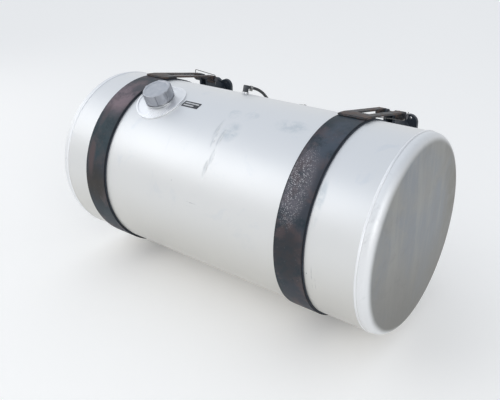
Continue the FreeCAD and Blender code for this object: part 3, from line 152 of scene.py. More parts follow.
# Noise to a metre along each axis, in the shell's rolled grain
GRAIN_PACE = (420, 9, 9)

# Head: radius where its crown, painted darker than its rim as shade, ends, how far that edge is
# blurred inwards and outwards, the radius that the crown is pressed to, and the radii between
# which the normal of the crown's sphere gives way to the mesh's own
CROWN_EDGE = 0.318
CROWN_BLUR = (0.016, 0.004)
CROWN_RADIUS = 7.6
CROWN_MIDDLE = (0.062, 0.100)
# Heights from the axis, and places behind it, between which painted shade darkens the crown
CROWN_LOW_SHADE = (0.10, -0.30)
CROWN_BACK_SHADE = (0.08, 0.31)
# How much finer the crown's streaks are along each axis, and the noise to a metre outwards
# in its fine rings
STREAK_PACE = (1, 9, 1.4)
RING_PACE = 260

# Pale pits on the right strap, their paleness partly painted glints: middle and half sizes, in
# the same way as the marks
PITS_AND_GLINTS = ((0.420, 0.305), (0.052, 0.150))
# Where the straps' paint is more faded or darker, in the same way, and its colour there
STRAP_REGIONS = [
    ((-0.437, 0.150), (0.085, 0.130), (0.240, 0.182, 0.205)),
    ((-0.437, 0.330), (0.075, 0.130), (0.026, 0.052, 0.064)),
    ((-0.437, 0.520), (0.080, 0.110), (0.036, 0.034, 0.030)),
    ((0.415, 0.290), (0.070, 0.160), (0.145, 0.138, 0.160)),
    ((0.437, 0.520), (0.080, 0.120), (0.036, 0.032, 0.034)),
    ((0.455, 0.120), (0.060, 0.140), (0.064, 0.084, 0.112)),
    ((-0.462, 0.400), (0.022, 0.110), (0.098, 0.070, 0.072)),
    ((-0.462, 0.250), (0.018, 0.060), (0.088, 0.070, 0.080)),
]
# How far inside and outside its side a strap's dark edge begins and is full, and how far
# the noise moves it
EDGE_BLUR = (0.0025, 0.0008)
EDGE_WANDER = 0.003
# How far along the tank the noises for rust and wear lie from those for the paint
RUST_SHIFT = 3.7

# Plain finishes: how much darker a metal's patches are and how far its roughness swings,
# and how much paler than the rubber its dust is
METAL_DARKER = 0.7
METAL_SWING = 0.07
DUST_PALER = 2.4
DUST_BASE = 0.02

# Straps: distance from the tank's middle, half width, outer radius, and the fork's lap on it
STRAP_PLACE = 0.437
STRAP_HALF = 0.0508
STRAP_RADIUS = 0.3380
FORK_SHEET = 0.0063
LAP_ANGLE = -2.5

# Welds of a fork: radius that they lie at, how far the lap's weld stays from the strap's
# sides and its angle, the angle where the side welds end, and the radius of each bead
FORK_WELD_RADIUS = STRAP_RADIUS + 0.4 * FORK_SHEET
LAP_WELD_INSET = 0.003
LAP_WELD_ANGLE = LAP_ANGLE + 0.35
SIDE_WELD_ANGLE = -7.75
LAP_BEAD = 0.0032
SIDE_BEAD = 0.0026

# Welds of a bracket: radius of the bead, then the lines that it follows
BRACKET_BEAD = 0.0050
PLATE_FRONT_Y = -0.014
FOOT_TOP = FLOOR_Z + 0.0095
FOOT_WELD_TOE = -0.360
WEB_HALF = 0.00635
WEB_WELD_TOP = 0.020
WEB_ARC = (188, 291)
LUG_HALF = 0.0222
LUG_WELD = (0.030, 0.117)
LUG_ARC = (292.5, 301.5)
SADDLE_RADIUS = 0.3443

# A bead: length of one ripple, rings to a ripple, corners round it, pieces that its line is
# measured by, and the share of the line that its direction is taken over
BEAD_PITCH = 0.0055
BEAD_RINGS = 5
BEAD_CORNERS = 10
BEAD_MARKS = 40
BEAD_REACH = 0.002
# Its width to its height, how much the radius dips between ripples, the share of the radius
# at an end and how fast it grows from there, how far the bead wanders sideways, and by how
# many radians that swings along its line and for each metre of X
BEAD_WIDTH = 1.25
BEAD_DIP = 0.16
BEAD_END = 0.35
BEAD_GROWTH = 8
BEAD_WANDER = 0.0005
WANDER_SWEEP = 9
WANDER_SHIFT = 40

# Printed patch on the shell: middle in the same way as the marks, half sizes, thickness,
# gap under it, and the pieces that it is divided into
PATCH_PLACE = (-0.1325, 0.1155)
PATCH_HALF = (0.038, 0.0155)
PATCH_SHEET = 0.0004
PATCH_GAP = 0.0001
PATCH_COLUMNS = 16
PATCH_ROWS = 8
# Its pale bars: middle from the patch's own, and half sizes
PATCH_BARS = [
    ((0.0, -0.0062), (0.0320, 0.0034)),
    ((-0.0085, 0.0062), (0.0235, 0.0034)),
]
PATCH_BLUR = 0.0008

# The hose: start and lead in the frame of its outlet, then along the tank from there,
# degrees behind the top and height over the shell
VENT_X = TANK_MIDDLE - 0.082
VENT_TILT = -17.5
VENT_TURN = 62
HOSE_START = [(0.0093, 0, 0.3542), (0.0383, 0, 0.3542)]
HOSE_ROUTE = [
    (0.0215, 29.5, 0.022),
    (0.013, 36.5, 0.020),
    (0.002, 46.5, 0.020),
    (-0.008, 59.5, 0.020),
    (-0.017, 74, 0.020),
    (-0.0215, 89, 0.017),
    (-0.020, 103, 0.025),
    (-0.015, 114.5, 0.047),
    (-0.010, 122, 0.066),
]
HOSE_RADIUS = 0.0055
# Resolution of the hose's curve along its line and round it
HOSE_STEPS = 12
HOSE_ROUND = 6


# Camera, at the photograph's place

def make_camera():
    data = bpy.data.cameras.new("camera")
    data.sensor_width = SENSOR_WIDTH
    data.lens = LENS
    data.clip_start = CLIP_NEAR
    data.clip_end = CLIP_FAR
    camera = bpy.data.objects.new("camera", data)
    bpy.context.scene.collection.objects.link(camera)
    forward = Vector(CAMERA_FORWARD).normalized()
    right = forward.cross(Vector((0, 0, 1))).normalized()
    up = right.cross(forward)
    turned_right = right * math.cos(CAMERA_ROLL) + up * math.sin(CAMERA_ROLL)
    turned_up = up * math.cos(CAMERA_ROLL) - right * math.sin(CAMERA_ROLL)
    matrix = Matrix((turned_right, turned_up, -forward)).transposed().to_4x4()
    matrix.translation = Vector(CAMERA_PLACE)
    camera.matrix_world = matrix
    bpy.context.scene.camera = camera


# Floor, world and lamps

def node(tree, kind, **values):
    made = tree.nodes.new(kind)
    for name, value in values.items():
        setattr(made, name, value)
    return made


def of_kind(sockets, kind):
    """The sockets that hold one kind of value."""
    return [socket for socket in sockets if socket.type == kind]


def seen_rays(tree):
    """1 for rays from the camera and those that it sees by a mirror or through glass."""
    rays = node(tree, "ShaderNodeLightPath").outputs
    seen = rays["Is Camera Ray"]
    for kind in ("Is Glossy Ray", "Is Transmission Ray"):
        either = node(tree, "ShaderNodeMath", operation="MAXIMUM")
        tree.links.new(seen, either.inputs[0])
        tree.links.new(rays[kind], either.inputs[1])
        seen = either.outputs[0]
    return seen


def floor_material():
    material = bpy.data.materials.new("floor")
    material.use_nodes = True
    tree = material.node_tree
    shader = tree.nodes["Principled BSDF"]
    shader.inputs["Base Color"].default_value = (*FLOOR_COLOUR, 1)
    shader.inputs["Roughness"].default_value = FLOOR_ROUGH
    shader.inputs["Specular IOR Level"].default_value = FLOOR_SPECULAR
    shader.inputs["Emission Color"].default_value = (*WHITE, 1)
    glow = node(tree, "ShaderNodeMath", operation="MULTIPLY")
    tree.links.new(seen_rays(tree), glow.inputs[0])
    glow.inputs[1].default_value = FLOOR_GLOW
    tree.links.new(glow.outputs[0], shader.inputs["Emission Strength"])
    return material


def make_floor():
    mesh = bpy.data.meshes.new("floor")
    half = FLOOR_HALF
    corners = [(-half, -half, 0), (half, -half, 0), (half, half, 0), (-half, half, 0)]
    mesh.from_pydata(corners, [], [(0, 1, 2, 3)])
    mesh.materials.append(floor_material())
    floor = bpy.data.objects.new("floor", mesh)
    floor.location = (0, AXIS_Y, FLOOR_Z - FLOOR_DROP)
    bpy.context.scene.collection.objects.link(floor)


def smooth_range(tree, source, limits, ends=(0.0, 1.0)):
    """Smooth step from one end to the other while the source runs between the limits."""
    made = node(tree, "ShaderNodeMapRange", interpolation_type="SMOOTHSTEP")
    made.inputs["From Min"].default_value = limits[0]
    made.inputs["From Max"].default_value = limits[1]
    made.inputs["To Min"].default_value = ends[0]
    made.inputs["To Max"].default_value = ends[1]
    tree.links.new(source, made.inputs["Value"])
    return made.outputs[0]


def make_world():
    world = bpy.data.worlds.new("studio")
    bpy.context.scene.world = world
    world.use_nodes = True
    tree = world.node_tree
    tree.nodes.clear()
    out = node(tree, "ShaderNodeOutputWorld")
    light = node(tree, "ShaderNodeBackground")
    place = node(tree, "ShaderNodeTexCoord")
    split = node(tree, "ShaderNodeSeparateXYZ")
    tree.links.new(place.outputs["Generated"], split.inputs[0])
    strength = smooth_range(tree, split.outputs["X"], WORLD_SIDES, (WORLD_BRIGHT, WORLD_DIM))
    sky = node(tree, "ShaderNodeMix", data_type="RGBA")
    for socket, colour in zip(of_kind(sky.inputs, "RGBA"), (SKY_LOW, SKY_HIGH)):
        socket.default_value = (*colour, 1)
    tree.links.new(smooth_range(tree, split.outputs["Z"], SKY_RISE), sky.inputs[0])
    tree.links.new(of_kind(sky.outputs, "RGBA")[0], light.inputs["Color"])
    tree.links.new(strength, light.inputs["Strength"])
    tree.links.new(light.outputs[0], out.inputs[0])


def make_lights():
    middle = Vector((TANK_MIDDLE, AXIS_Y, AXIS_Z))
    for name, row in LAMPS.items():
        data = bpy.data.lights.new(name, "AREA")
        data.shape = "RECTANGLE"
        data.size, data.size_y = row["size"]
        data.energy = row["watts"]
        data.color = row["colour"]
        lamp = bpy.data.objects.new(name, data)
        bpy.context.scene.collection.objects.link(lamp)
        lamp.location = middle + Vector(row["direction"]).normalized() * row["distance"]
        lamp.rotation_mode = "QUATERNION"
        lamp.rotation_quaternion = (middle - lamp.location).to_track_quat("-Z", "Y")


# Materials

SOCKETS = {
    "colour": "Base Color",
    "metal": "Metallic",
    "rough": "Roughness",
    "normal": "Normal",
    "specular": "Specular IOR Level",
}


class Graph:
    """Short calls for the nodes of one material."""

    def __init__(self, name):
        self.material = bpy.data.materials.new(name)
        self.material.use_nodes = True
        self.tree = self.material.node_tree
        self.shader = self.tree.nodes["Principled BSDF"]
        self.place = node(self.tree, "ShaderNodeTexCoord").outputs["Object"]

    def link(self, source, target):
        self.tree.links.new(source, target)

    def put(self, socket, value):
        if isinstance(value, bpy.types.NodeSocket):
            self.link(value, socket)
        else:
            socket.default_value = value

    def math(self, operation, first, second=0.0, clamp=False):
        made = node(self.tree, "ShaderNodeMath", operation=operation, use_clamp=clamp)
        for socket, value in zip(made.inputs, (first, second)):
            self.put(socket, value)
        return made.outputs[0]

    def plus(self, first, second):
        return self.math("ADD", first, second)

    def minus(self, first, second):
        return self.math("SUBTRACT", first, second)

    def times(self, first, second):
        return self.math("MULTIPLY", first, second)

    def around_zero(self, noise, size):
        """A noise about its middle of one half, scaled."""
        return self.times(self.minus(noise, 0.5), size)

    def stretch(self, x, y, z):
        """Place with each axis scaled by its own factor."""
        made = node(self.tree, "ShaderNodeVectorMath", operation="MULTIPLY")
        self.put(made.inputs[0], self.place)
        made.inputs[1].default_value = (x, y, z)
        return made.outputs[0]

    def split(self, vector):
        made = node(self.tree, "ShaderNodeSeparateXYZ")
        self.put(made.inputs[0], vector)
        return made.outputs

    def join(self, x, y, z):
        made = node(self.tree, "ShaderNodeCombineXYZ")
        for socket, value in zip(made.inputs, (x, y, z)):
            self.put(socket, value)
        return made.outputs[0]

    def noise(self, vector, scale, detail, rough, distortion=0.0):
        made = node(self.tree, "ShaderNodeTexNoise")
        self.put(made.inputs["Vector"], vector)
        made.inputs["Scale"].default_value = scale
        made.inputs["Detail"].default_value = detail
        made.inputs["Roughness"].default_value = rough
        made.inputs["Distortion"].default_value = distortion
        return made.outputs["Fac"]

    def dots(self, vector, scale, inner, outer):
        """1 in round dots, one to a cell, fading from their inner to their outer radius."""
        made = node(self.tree, "ShaderNodeTexVoronoi")
        self.put(made.inputs["Vector"], vector)
        made.inputs["Scale"].default_value = scale
        return self.ramp(made.outputs["Distance"], inner, outer, 1.0, 0.0)

    def ramp(self, value, low, high, to_low=0.0, to_high=1.0):
        return smooth_range(self.tree, value, (low, high), (to_low, to_high))

    def mix(self, factor, first, second):
        made = node(self.tree, "ShaderNodeMix", data_type="RGBA")
        self.put(made.inputs[0], factor)
        for socket, value in zip(of_kind(made.inputs, "RGBA"), (first, second)):
            self.put(socket, (*value, 1) if isinstance(value, tuple) else value)
        return of_kind(made.outputs, "RGBA")[0]

    def bump(self, height, distance, strength=1.0, below=None):
        made = node(self.tree, "ShaderNodeBump")
        self.put(made.inputs["Height"], height)
        made.inputs["Distance"].default_value = distance
        self.put(made.inputs["Strength"], strength)
        if below is not None:
            self.link(below, made.inputs["Normal"])
        return made.outputs[0]

    def set(self, **values):
        for key, value in values.items():
            socket = self.shader.inputs[SOCKETS[key]]
            self.put(socket, (*value, 1) if isinstance(value, tuple) else value)
        return self.material


def from_axis(graph):
    """Place along the tank, then how far behind and above the tank's axis."""
    x, y, z = graph.split(graph.place)
    return x, graph.minus(y, AXIS_Y), graph.minus(z, AXIS_Z)


def turn_angle(graph):
    """Angle from the top of the tank towards the front, in radians."""
    behind, above = from_axis(graph)[1:]
    return graph.math("ARCTAN2", graph.times(behind, -1), above)


def drum_place(graph):
    """Place on the tank: along it, round it from the top towards the front, and the radius."""
    x, behind, above = from_axis(graph)
    arc = graph.times(turn_angle(graph), TANK_RADIUS)
    squared = graph.plus(graph.math("POWER", behind, 2), graph.math("POWER", above, 2))
    return x, arc, graph.math("SQRT", squared)


def ellipse(graph, x, arc, place, size):
    """1 in the middle of a soft ellipse on the tank, 0 outside it."""
    across = graph.math("DIVIDE", graph.minus(x, place[0]), size[0])
    along = graph.math("DIVIDE", graph.minus(arc, place[1]), size[1])
    squared = graph.plus(graph.times(across, across), graph.times(along, along))
    return graph.ramp(squared, 1.0, 0.0)


def marks(graph, x, arc, rows):
    """Ellipses added up and held at 1."""
    whole = 0.0
    for place, size in rows:
        whole = graph.math("ADD", whole, ellipse(graph, x, arc, place, size), clamp=True)
    return whole


def shell_fields(graph):
    """Noises and marks that the shell's colour, roughness and relief share."""
    x, arc, radius = drum_place(graph)
    smudge = graph.noise(graph.place, scale=11, detail=6, rough=0.65, distortion=0.6)
    fine = graph.noise(graph.place, scale=20, detail=7, rough=0.72, distortion=0.3)
    scuffs = graph.times(marks(graph, x, arc, SCUFFS), graph.ramp(fine, 0.34, 0.68))
    scratches = graph.times(marks(graph, x, arc, SCRATCHES), graph.ramp(fine, 0.42, 0.58))
    uneven = graph.ramp(smudge, 0.36, 0.56, to_low=0.45)
    creases = graph.times(marks(graph, x, arc, CREASES), uneven)
    return SimpleNamespace(
        arc=arc,
        grain=graph.noise(graph.stretch(*GRAIN_PACE), scale=1.0, detail=6, rough=0.6),
        broad=graph.noise(graph.place, scale=3.2, detail=3, rough=0.5),
        smudge=smudge,
        scuffs=scuffs,
        scratches=scratches,
        creases=creases,
        # Painted shade along the creases, in patches: the shell's colour darkens there
        rubbed=graph.times(creases, graph.ramp(fine, 0.30, 0.62, to_low=0.10, to_high=0.50)),
        weld=graph.ramp(radius, TANK_RADIUS + WELD_RISE[0], TANK_RADIUS + WELD_RISE[1]),
    )


def shell_colour(graph, fields):
    grey = (0.755, 0.765, 0.775)
    pale = (0.80, 0.805, 0.81)
    bluish = (0.62, 0.67, 0.73)
    underside_shade_reflection = (0.655, 0.645, 0.610)
    scuffed = (0.46, 0.53, 0.58)
    scratched = (0.25, 0.26, 0.28)
    speck = (0.30, 0.31, 0.33)
    weld_highlight = (0.90, 0.91, 0.93)
    crease_shade = (0.52, 0.55, 0.57)
    colour = graph.mix(fields.broad, grey, pale)
    colour = graph.mix(graph.ramp(fields.smudge, 0.56, 0.72, to_high=0.28), colour, bluish)
    # Painted shade and a painted reflection of a warm floor: the lower side darker and warmer
    under = graph.ramp(graph.math("ABSOLUTE", fields.arc), *UNDERSIDE_SHADE, to_high=0.8)
    colour = graph.mix(under, colour, underside_shade_reflection)
    colour = graph.mix(graph.times(fields.scuffs, 0.5), colour, scuffed)
    colour = graph.mix(graph.times(fields.scratches, 0.6), colour, scratched)
    specks = graph.dots(graph.place, scale=7, inner=0.014, outer=0.024)
    colour = graph.mix(graph.times(specks, 0.5), colour, speck)
    # Painted highlight: the seam welds are lighter, to show as a bright line
    colour = graph.mix(fields.weld, colour, weld_highlight)
    # Painted shade darkens the creases
    return graph.mix(fields.rubbed, colour, crease_shade)


def shell_rough(graph, fields):
    rough = graph.ramp(fields.broad, 0.3, 0.7, to_low=0.40, to_high=0.47)
    rough = graph.plus(rough, graph.around_zero(fields.grain, 0.10))
    rough = graph.plus(rough, graph.times(fields.scuffs, 0.10))
    return graph.minus(rough, graph.times(fields.weld, 0.12))


def shell_relief(graph, fields):
    """Rolled grain, ripples of the seams' welds, broad dents and the creases."""
    waves = graph.math("SINE", graph.times(fields.arc, WELD_RIPPLES))
    ripples = graph.times(waves, fields.weld)
    dents = graph.noise(graph.place, scale=5.5, detail=2, rough=0.4)
    normal = graph.bump(fields.grain, distance=0.0006, strength=0.22)
    normal = graph.bump(ripples, distance=0.0006, strength=0.5, below=normal)
    normal = graph.bump(dents, distance=0.006, strength=0.12, below=normal)
    return graph.bump(graph.times(fields.creases, -1.0), distance=CREASE_DEPTH, below=normal)


def shell_metal():
    graph = Graph("shell_metal")
    fields = shell_fields(graph)
    return graph.set(
        colour=shell_colour(graph, fields),
        metal=0.92,
        rough=shell_rough(graph, fields),
        normal=shell_relief(graph, fields),
    )


def crown_normal(graph, radius):
    """The mesh's normal, and near a head's middle that of the crown's own sphere."""
    x, behind, above = from_axis(graph)
    outward = graph.join(graph.times(graph.math("SIGN", x), CROWN_RADIUS), behind, above)
    sphere = node(graph.tree, "ShaderNodeVectorMath", operation="NORMALIZE")
    graph.link(outward, sphere.inputs[0])
    shown = node(graph.tree, "ShaderNodeNewGeometry").outputs["Normal"]
    blend = node(graph.tree, "ShaderNodeMix", data_type="VECTOR")
    first, second = of_kind(blend.inputs, "VECTOR")[-2:]
    graph.link(graph.ramp(radius, *CROWN_MIDDLE), blend.inputs[0])
    graph.link(sphere.outputs[0], first)
    graph.link(shown, second)
    return of_kind(blend.outputs, "VECTOR")[0]


def crown_colour_and_shade(graph, broad, smudge):
    """Crown of a head, painted dark as shade: streaked, with more painted shade low down and
    towards the back.
    """
    shaded_cool = (0.262, 0.280, 0.300)
    shaded_warm = (0.318, 0.318, 0.306)
    streaked = (0.375, 0.368, 0.350)
    smudged = (0.225, 0.225, 0.215)
    lower = (0.236, 0.230, 0.212)
    rear_shade = (0.222, 0.212, 0.185)
    behind, above = from_axis(graph)[1:]
    streaks = graph.noise(graph.stretch(*STREAK_PACE), scale=2.2, detail=6, rough=0.6)
    # Painted shade: the crown's base tones are dark
    crown = graph.mix(graph.ramp(broad, 0.38, 0.62), shaded_cool, shaded_warm)
    crown = graph.mix(graph.ramp(streaks, 0.45, 0.68, to_high=0.5), crown, streaked)
    crown = graph.mix(graph.ramp(smudge, 0.50, 0.70, to_high=0.35), crown, smudged)
    # Painted shade: darker low down
    crown = graph.mix(graph.ramp(above, *CROWN_LOW_SHADE, to_high=0.7), crown, lower)
    # Painted shade: darker towards the back
    back = graph.ramp(behind, *CROWN_BACK_SHADE, to_high=0.8)
    return graph.mix(graph.times(back, graph.ramp(smudge, 0.35, 0.60, to_low=0.55)), crown, rear_shade)


def head_rings(graph, radius):
    """Fine rings round the middle of a head."""
    outward = graph.times(radius, RING_PACE)
    across = graph.math("DIVIDE", from_axis(graph)[1], radius)
    spread = graph.join(outward, across, graph.math("COSINE", turn_angle(graph)))
    return graph.noise(spread, scale=1.0, detail=5, rough=0.6)


def head_metal():
    graph = Graph("head_metal")
    bright = (0.83, 0.84, 0.85)
    stained = (0.34, 0.35, 0.36)
    radius = drum_place(graph)[2]
    broad = graph.noise(graph.place, scale=4.5, detail=4, rough=0.6, distortion=0.4)
    smudge = graph.noise(graph.place, scale=14, detail=6, rough=0.65, distortion=0.5)
    edge = graph.plus(radius, graph.around_zero(smudge, 0.006))
    rim = graph.ramp(edge, CROWN_EDGE - CROWN_BLUR[0], CROWN_EDGE + CROWN_BLUR[1])
    colour = graph.mix(rim, crown_colour_and_shade(graph, broad, smudge), bright)
    colour = graph.mix(graph.ramp(smudge, 0.58, 0.74, to_high=0.22), colour, stained)
    rough = graph.ramp(broad, 0.3, 0.7, to_low=0.40, to_high=0.48)
    rough = graph.plus(rough, graph.times(rim, 0.12))
    normal = graph.bump(
        head_rings(graph, radius),
        distance=0.0006,
        strength=graph.ramp(radius, 0.03, 0.10, to_high=0.15),
        below=crown_normal(graph, radius),
    )
    dents = graph.noise(graph.place, scale=6, detail=2, rough=0.4)
    normal = graph.bump(dents, distance=0.006, strength=0.12, below=normal)
    return graph.set(colour=colour, metal=0.92, rough=rough, normal=normal)


def plain_metal(name, colour, rough, metal=1.0, scale=60.0):
    graph = Graph(name)
    fine = graph.noise(graph.place, scale=scale * 6, detail=4, rough=0.6)
    broad = graph.noise(graph.place, scale=scale, detail=4, rough=0.55)
    dark = tuple(METAL_DARKER * part for part in colour)
    limits = {"to_low": rough - METAL_SWING, "to_high": rough + METAL_SWING}
    return graph.set(
        colour=graph.mix(graph.ramp(broad, 0.35, 0.7), colour, dark),
        metal=metal,
        rough=graph.ramp(fine, 0.25, 0.75, **limits),
        normal=graph.bump(fine, distance=0.0002, strength=0.25),
    )


def strap_pits_and_glints(graph, vector, x, arc):
    """Pale pits in one stretch of the right strap, their paleness partly painted glints."""
    pits = graph.dots(vector, scale=240, inner=0.24, outer=0.38)
    some = graph.ramp(graph.noise(vector, scale=45, detail=3, rough=0.6), 0.36, 0.50)
    return graph.times(graph.times(pits, some), ellipse(graph, x, arc, *PITS_AND_GLINTS))


def strap_edge(graph, x, small):
    """1 along both sides of a strap."""
    across = graph.math("ABSOLUTE", graph.minus(graph.math("ABSOLUTE", x), STRAP_PLACE))
    across = graph.plus(across, graph.times(small, EDGE_WANDER))
    return graph.ramp(across, STRAP_HALF - EDGE_BLUR[0], STRAP_HALF + EDGE_BLUR[1])


def strap_paint():
    """Dark paint, faded and rusty in patches, on both straps."""
    graph = Graph("strap_paint")
    dark = (0.015, 0.028, 0.038)
    bluish = (0.042, 0.048, 0.062)
    rusty = (0.088, 0.066, 0.070)
    worn = (0.060, 0.054, 0.054)
    pit_glint = (0.50, 0.50, 0.52)
    speck = (0.30, 0.31, 0.33)
    black = (0.010, 0.012, 0.016)
    x, arc, radius = drum_place(graph)
    vector = graph.join(x, arc, radius)
    moved = graph.join(graph.plus(x, RUST_SHIFT), arc, radius)
    large = graph.noise(vector, scale=7, detail=5, rough=0.6, distortion=0.5)
    middle = graph.noise(moved, scale=12, detail=7, rough=0.68, distortion=0.3)
    rubbed = graph.noise(moved, scale=30, detail=6, rough=0.7, distortion=0.6)
    small = graph.noise(vector, scale=90, detail=5, rough=0.65, distortion=0.5)
    patch = graph.plus(graph.times(large, 0.75), graph.times(small, 0.25))
    colour = graph.mix(graph.ramp(patch, 0.42, 0.58), dark, bluish)
    colour = graph.mix(graph.times(graph.ramp(middle, 0.48, 0.60), 0.8), colour, rusty)
    colour = graph.mix(graph.times(graph.ramp(rubbed, 0.54, 0.70), 0.5), colour, worn)
    uneven = graph.ramp(patch, 0.40, 0.56, to_low=0.25, to_high=0.85)
    for place, size, tint in STRAP_REGIONS:
        region = graph.times(ellipse(graph, x, arc, place, size), uneven)
        colour = graph.mix(region, colour, tint)
    pits = strap_pits_and_glints(graph, vector, x, arc)
    # Pits, painted pale partly as glints on the paint
    colour = graph.mix(graph.times(pits, 0.9), colour, pit_glint)
    specks = graph.dots(vector, scale=70, inner=0.05, outer=0.09)
    colour = graph.mix(graph.times(specks, 0.35), colour, speck)
    colour = graph.mix(graph.times(strap_edge(graph, x, small), 0.75), colour, black)
    rough = graph.ramp(patch, 0.35, 0.65, to_low=0.44, to_high=0.62)
    normal = graph.bump(small, distance=0.0008, strength=0.35)
    normal = graph.bump(pits, distance=0.0008, strength=0.5, below=normal)
    return graph.set(colour=colour, metal=0.0, rough=rough, normal=normal, specular=0.25)


def fork_rust():
    """Rusted forks and their welds."""
    graph = Graph("fork_rust")
    dark = (0.026, 0.028, 0.033)
    brown = (0.105, 0.072, 0.060)
    pale = (0.24, 0.20, 0.175)
    large = graph.noise(graph.place, scale=22, detail=6, rough=0.65, distortion=0.7)
    small = graph.noise(graph.place, scale=160, detail=5, rough=0.65)
    colour = graph.mix(graph.ramp(large, 0.46, 0.60), dark, brown)
    colour = graph.mix(graph.ramp(small, 0.52, 0.75, to_high=0.5), colour, pale)
    rough = graph.ramp(large, 0.35, 0.65, to_low=0.45, to_high=0.72)
    normal = graph.bump(small, distance=0.0008, strength=0.4)
    return graph.set(colour=colour, metal=0.15, rough=rough, normal=normal)


def bracket_paint():
    """Dark blue paint with some rust and chips."""
    graph = Graph("bracket_paint")
    dark = (0.017, 0.025, 0.036)
    bluish = (0.036, 0.044, 0.058)
    brown = (0.085, 0.055, 0.045)
    chipped = (0.30, 0.31, 0.32)
    large = graph.noise(graph.place, scale=18, detail=5, rough=0.6, distortion=0.4)
    small = graph.noise(graph.place, scale=240, detail=4, rough=0.6)
    rust = graph.noise(graph.place, scale=42, detail=6, rough=0.7)
    chips = graph.dots(graph.place, scale=55, inner=0.05, outer=0.10)
    colour = graph.mix(graph.ramp(large, 0.45, 0.68), dark, bluish)
    colour = graph.mix(graph.ramp(rust, 0.62, 0.76, to_high=0.4), colour, brown)
    colour = graph.mix(graph.times(chips, 0.5), colour, chipped)
    rough = graph.ramp(large, 0.3, 0.7, to_low=0.38, to_high=0.55)
    normal = graph.bump(small, distance=0.0005, strength=0.35)
    return graph.set(colour=colour, rough=rough, normal=normal)


def rubber(name, colour, rough, scale):
    """Rubber or plastic with some pale dust on it."""
    graph = Graph(name)
    fine = graph.noise(graph.place, scale=scale * 12, detail=4, rough=0.6)
    dust = graph.noise(graph.place, scale=scale, detail=5, rough=0.6)
    pale = tuple(min(1, DUST_PALER * part + DUST_BASE) for part in colour)
    return graph.set(
        colour=graph.mix(graph.ramp(dust, 0.50, 0.75, to_high=0.55), colour, pale),
        rough=rough,
        normal=graph.bump(fine, distance=0.0004, strength=0.4),
        specular=0.35,
    )


def cast_grey():
    """Die-cast cap, with painted shade making it a little darker on its side than on its top."""
    graph = Graph("cast_grey")
    dark = (0.44, 0.46, 0.50)
    pale = (0.56, 0.57, 0.60)
    side = (0.330, 0.345, 0.385)
    grit = graph.noise(graph.place, scale=900, detail=4, rough=0.6)
    broad = graph.noise(graph.place, scale=45, detail=5, rough=0.6, distortion=0.6)
    waves = graph.noise(graph.place, scale=26, detail=1, rough=0.4)
    facing = node(graph.tree, "ShaderNodeVectorMath", operation="DOT_PRODUCT")
    graph.link(node(graph.tree, "ShaderNodeTexCoord").outputs["Normal"], facing.inputs[0])
    facing.inputs[1].default_value = CAP_AXIS
    # Painted shade on the cap's side, by how far its surface turns from the cap's axis
    sideways = graph.ramp(facing.outputs["Value"], 0.75, 0.25, to_high=0.75)
    colour = graph.mix(graph.ramp(broad, 0.30, 0.70), dark, pale)
    colour = graph.mix(sideways, colour, side)
    rough = graph.ramp(broad, 0.3, 0.7, to_low=0.30, to_high=0.48)
    normal = graph.bump(waves, distance=0.003, strength=0.35)
    normal = graph.bump(grit, distance=0.0003, strength=0.3, below=normal)
    return graph.set(colour=colour, metal=0.85, rough=rough, normal=normal)


def print_patch():
    """Dark field with two plain pale bars, one shorter than the other."""
    graph = Graph("print_patch")
    field = (0.022, 0.024, 0.030)
    ink = (0.66, 0.67, 0.68)
    x, arc = drum_place(graph)[:2]
    across = graph.minus(x, PATCH_PLACE[0])
    along = graph.minus(arc, PATCH_PLACE[1])
    pale = 0.0
    for middle, half in PATCH_BARS:
        sideways = graph.math("ABSOLUTE", graph.minus(across, middle[0]))
        upright = graph.math("ABSOLUTE", graph.minus(along, middle[1]))
        wide = graph.ramp(sideways, half[0], half[0] - PATCH_BLUR)
        high = graph.ramp(upright, half[1], half[1] - PATCH_BLUR)
        pale = graph.math("MAXIMUM", pale, graph.times(wide, high))
    worn = graph.noise(graph.place, scale=300, detail=4, rough=0.6)
    fade = graph.ramp(worn, 0.30, 0.60, to_low=0.55)
    sheen = graph.noise(graph.place, scale=120, detail=3, rough=0.5)
    return graph.set(
        colour=graph.mix(graph.times(pale, fade), field, ink),
        rough=graph.ramp(sheen, 0.3, 0.7, to_low=0.36, to_high=0.50),
        normal=graph.bump(fade, distance=0.0001, strength=0.4),
    )


# Finish of each material slot: the function that makes it, and what it is called with
MATERIALS = {
    "satin_aluminium": (shell_metal, {}),
    "mill_aluminium": (plain_metal, {
        "name": "mill_metal", "colour": (0.82, 0.83, 0.85), "rough": 0.38}),
    "cast_grey": (cast_grey, {}),
    "black_rubber": (rubber, {
        "name": "black_rubber", "colour": (0.030, 0.037, 0.050), "rough": 0.62, "scale": 30}),
    "seal_rubber": (rubber, {
        "name": "seal_rubber", "colour": (0.03, 0.03, 0.032), "rough": 0.65, "scale": 60}),
    "hose_rubber": (rubber, {
        "name": "hose_rubber", "colour": (0.05, 0.052, 0.055), "rough": 0.55, "scale": 80}),
    "plated_steel": (plain_metal, {
        "name": "plated_steel", "colour": (0.40, 0.40, 0.39), "rough": 0.45,
        "metal": 0.90, "scale": 50}),
    "fitting_brass": (plain_metal, {
        "name": "fitting_brass", "colour": (0.78, 0.62, 0.34), "rough": 0.36, "scale": 70}),
    "float_plastic": (rubber, {
        "name": "float_plastic", "colour": (0.06, 0.06, 0.065), "rough": 0.5, "scale": 50}),
    "black_fitting": (rubber, {
        "name": "black_fitting", "colour": (0.055, 0.06, 0.066), "rough": 0.5, "scale": 60}),
    "strap_paint": (strap_paint, {}),
    "fork_rust": (fork_rust, {}),
    "bracket_paint": (bracket_paint, {}),
}

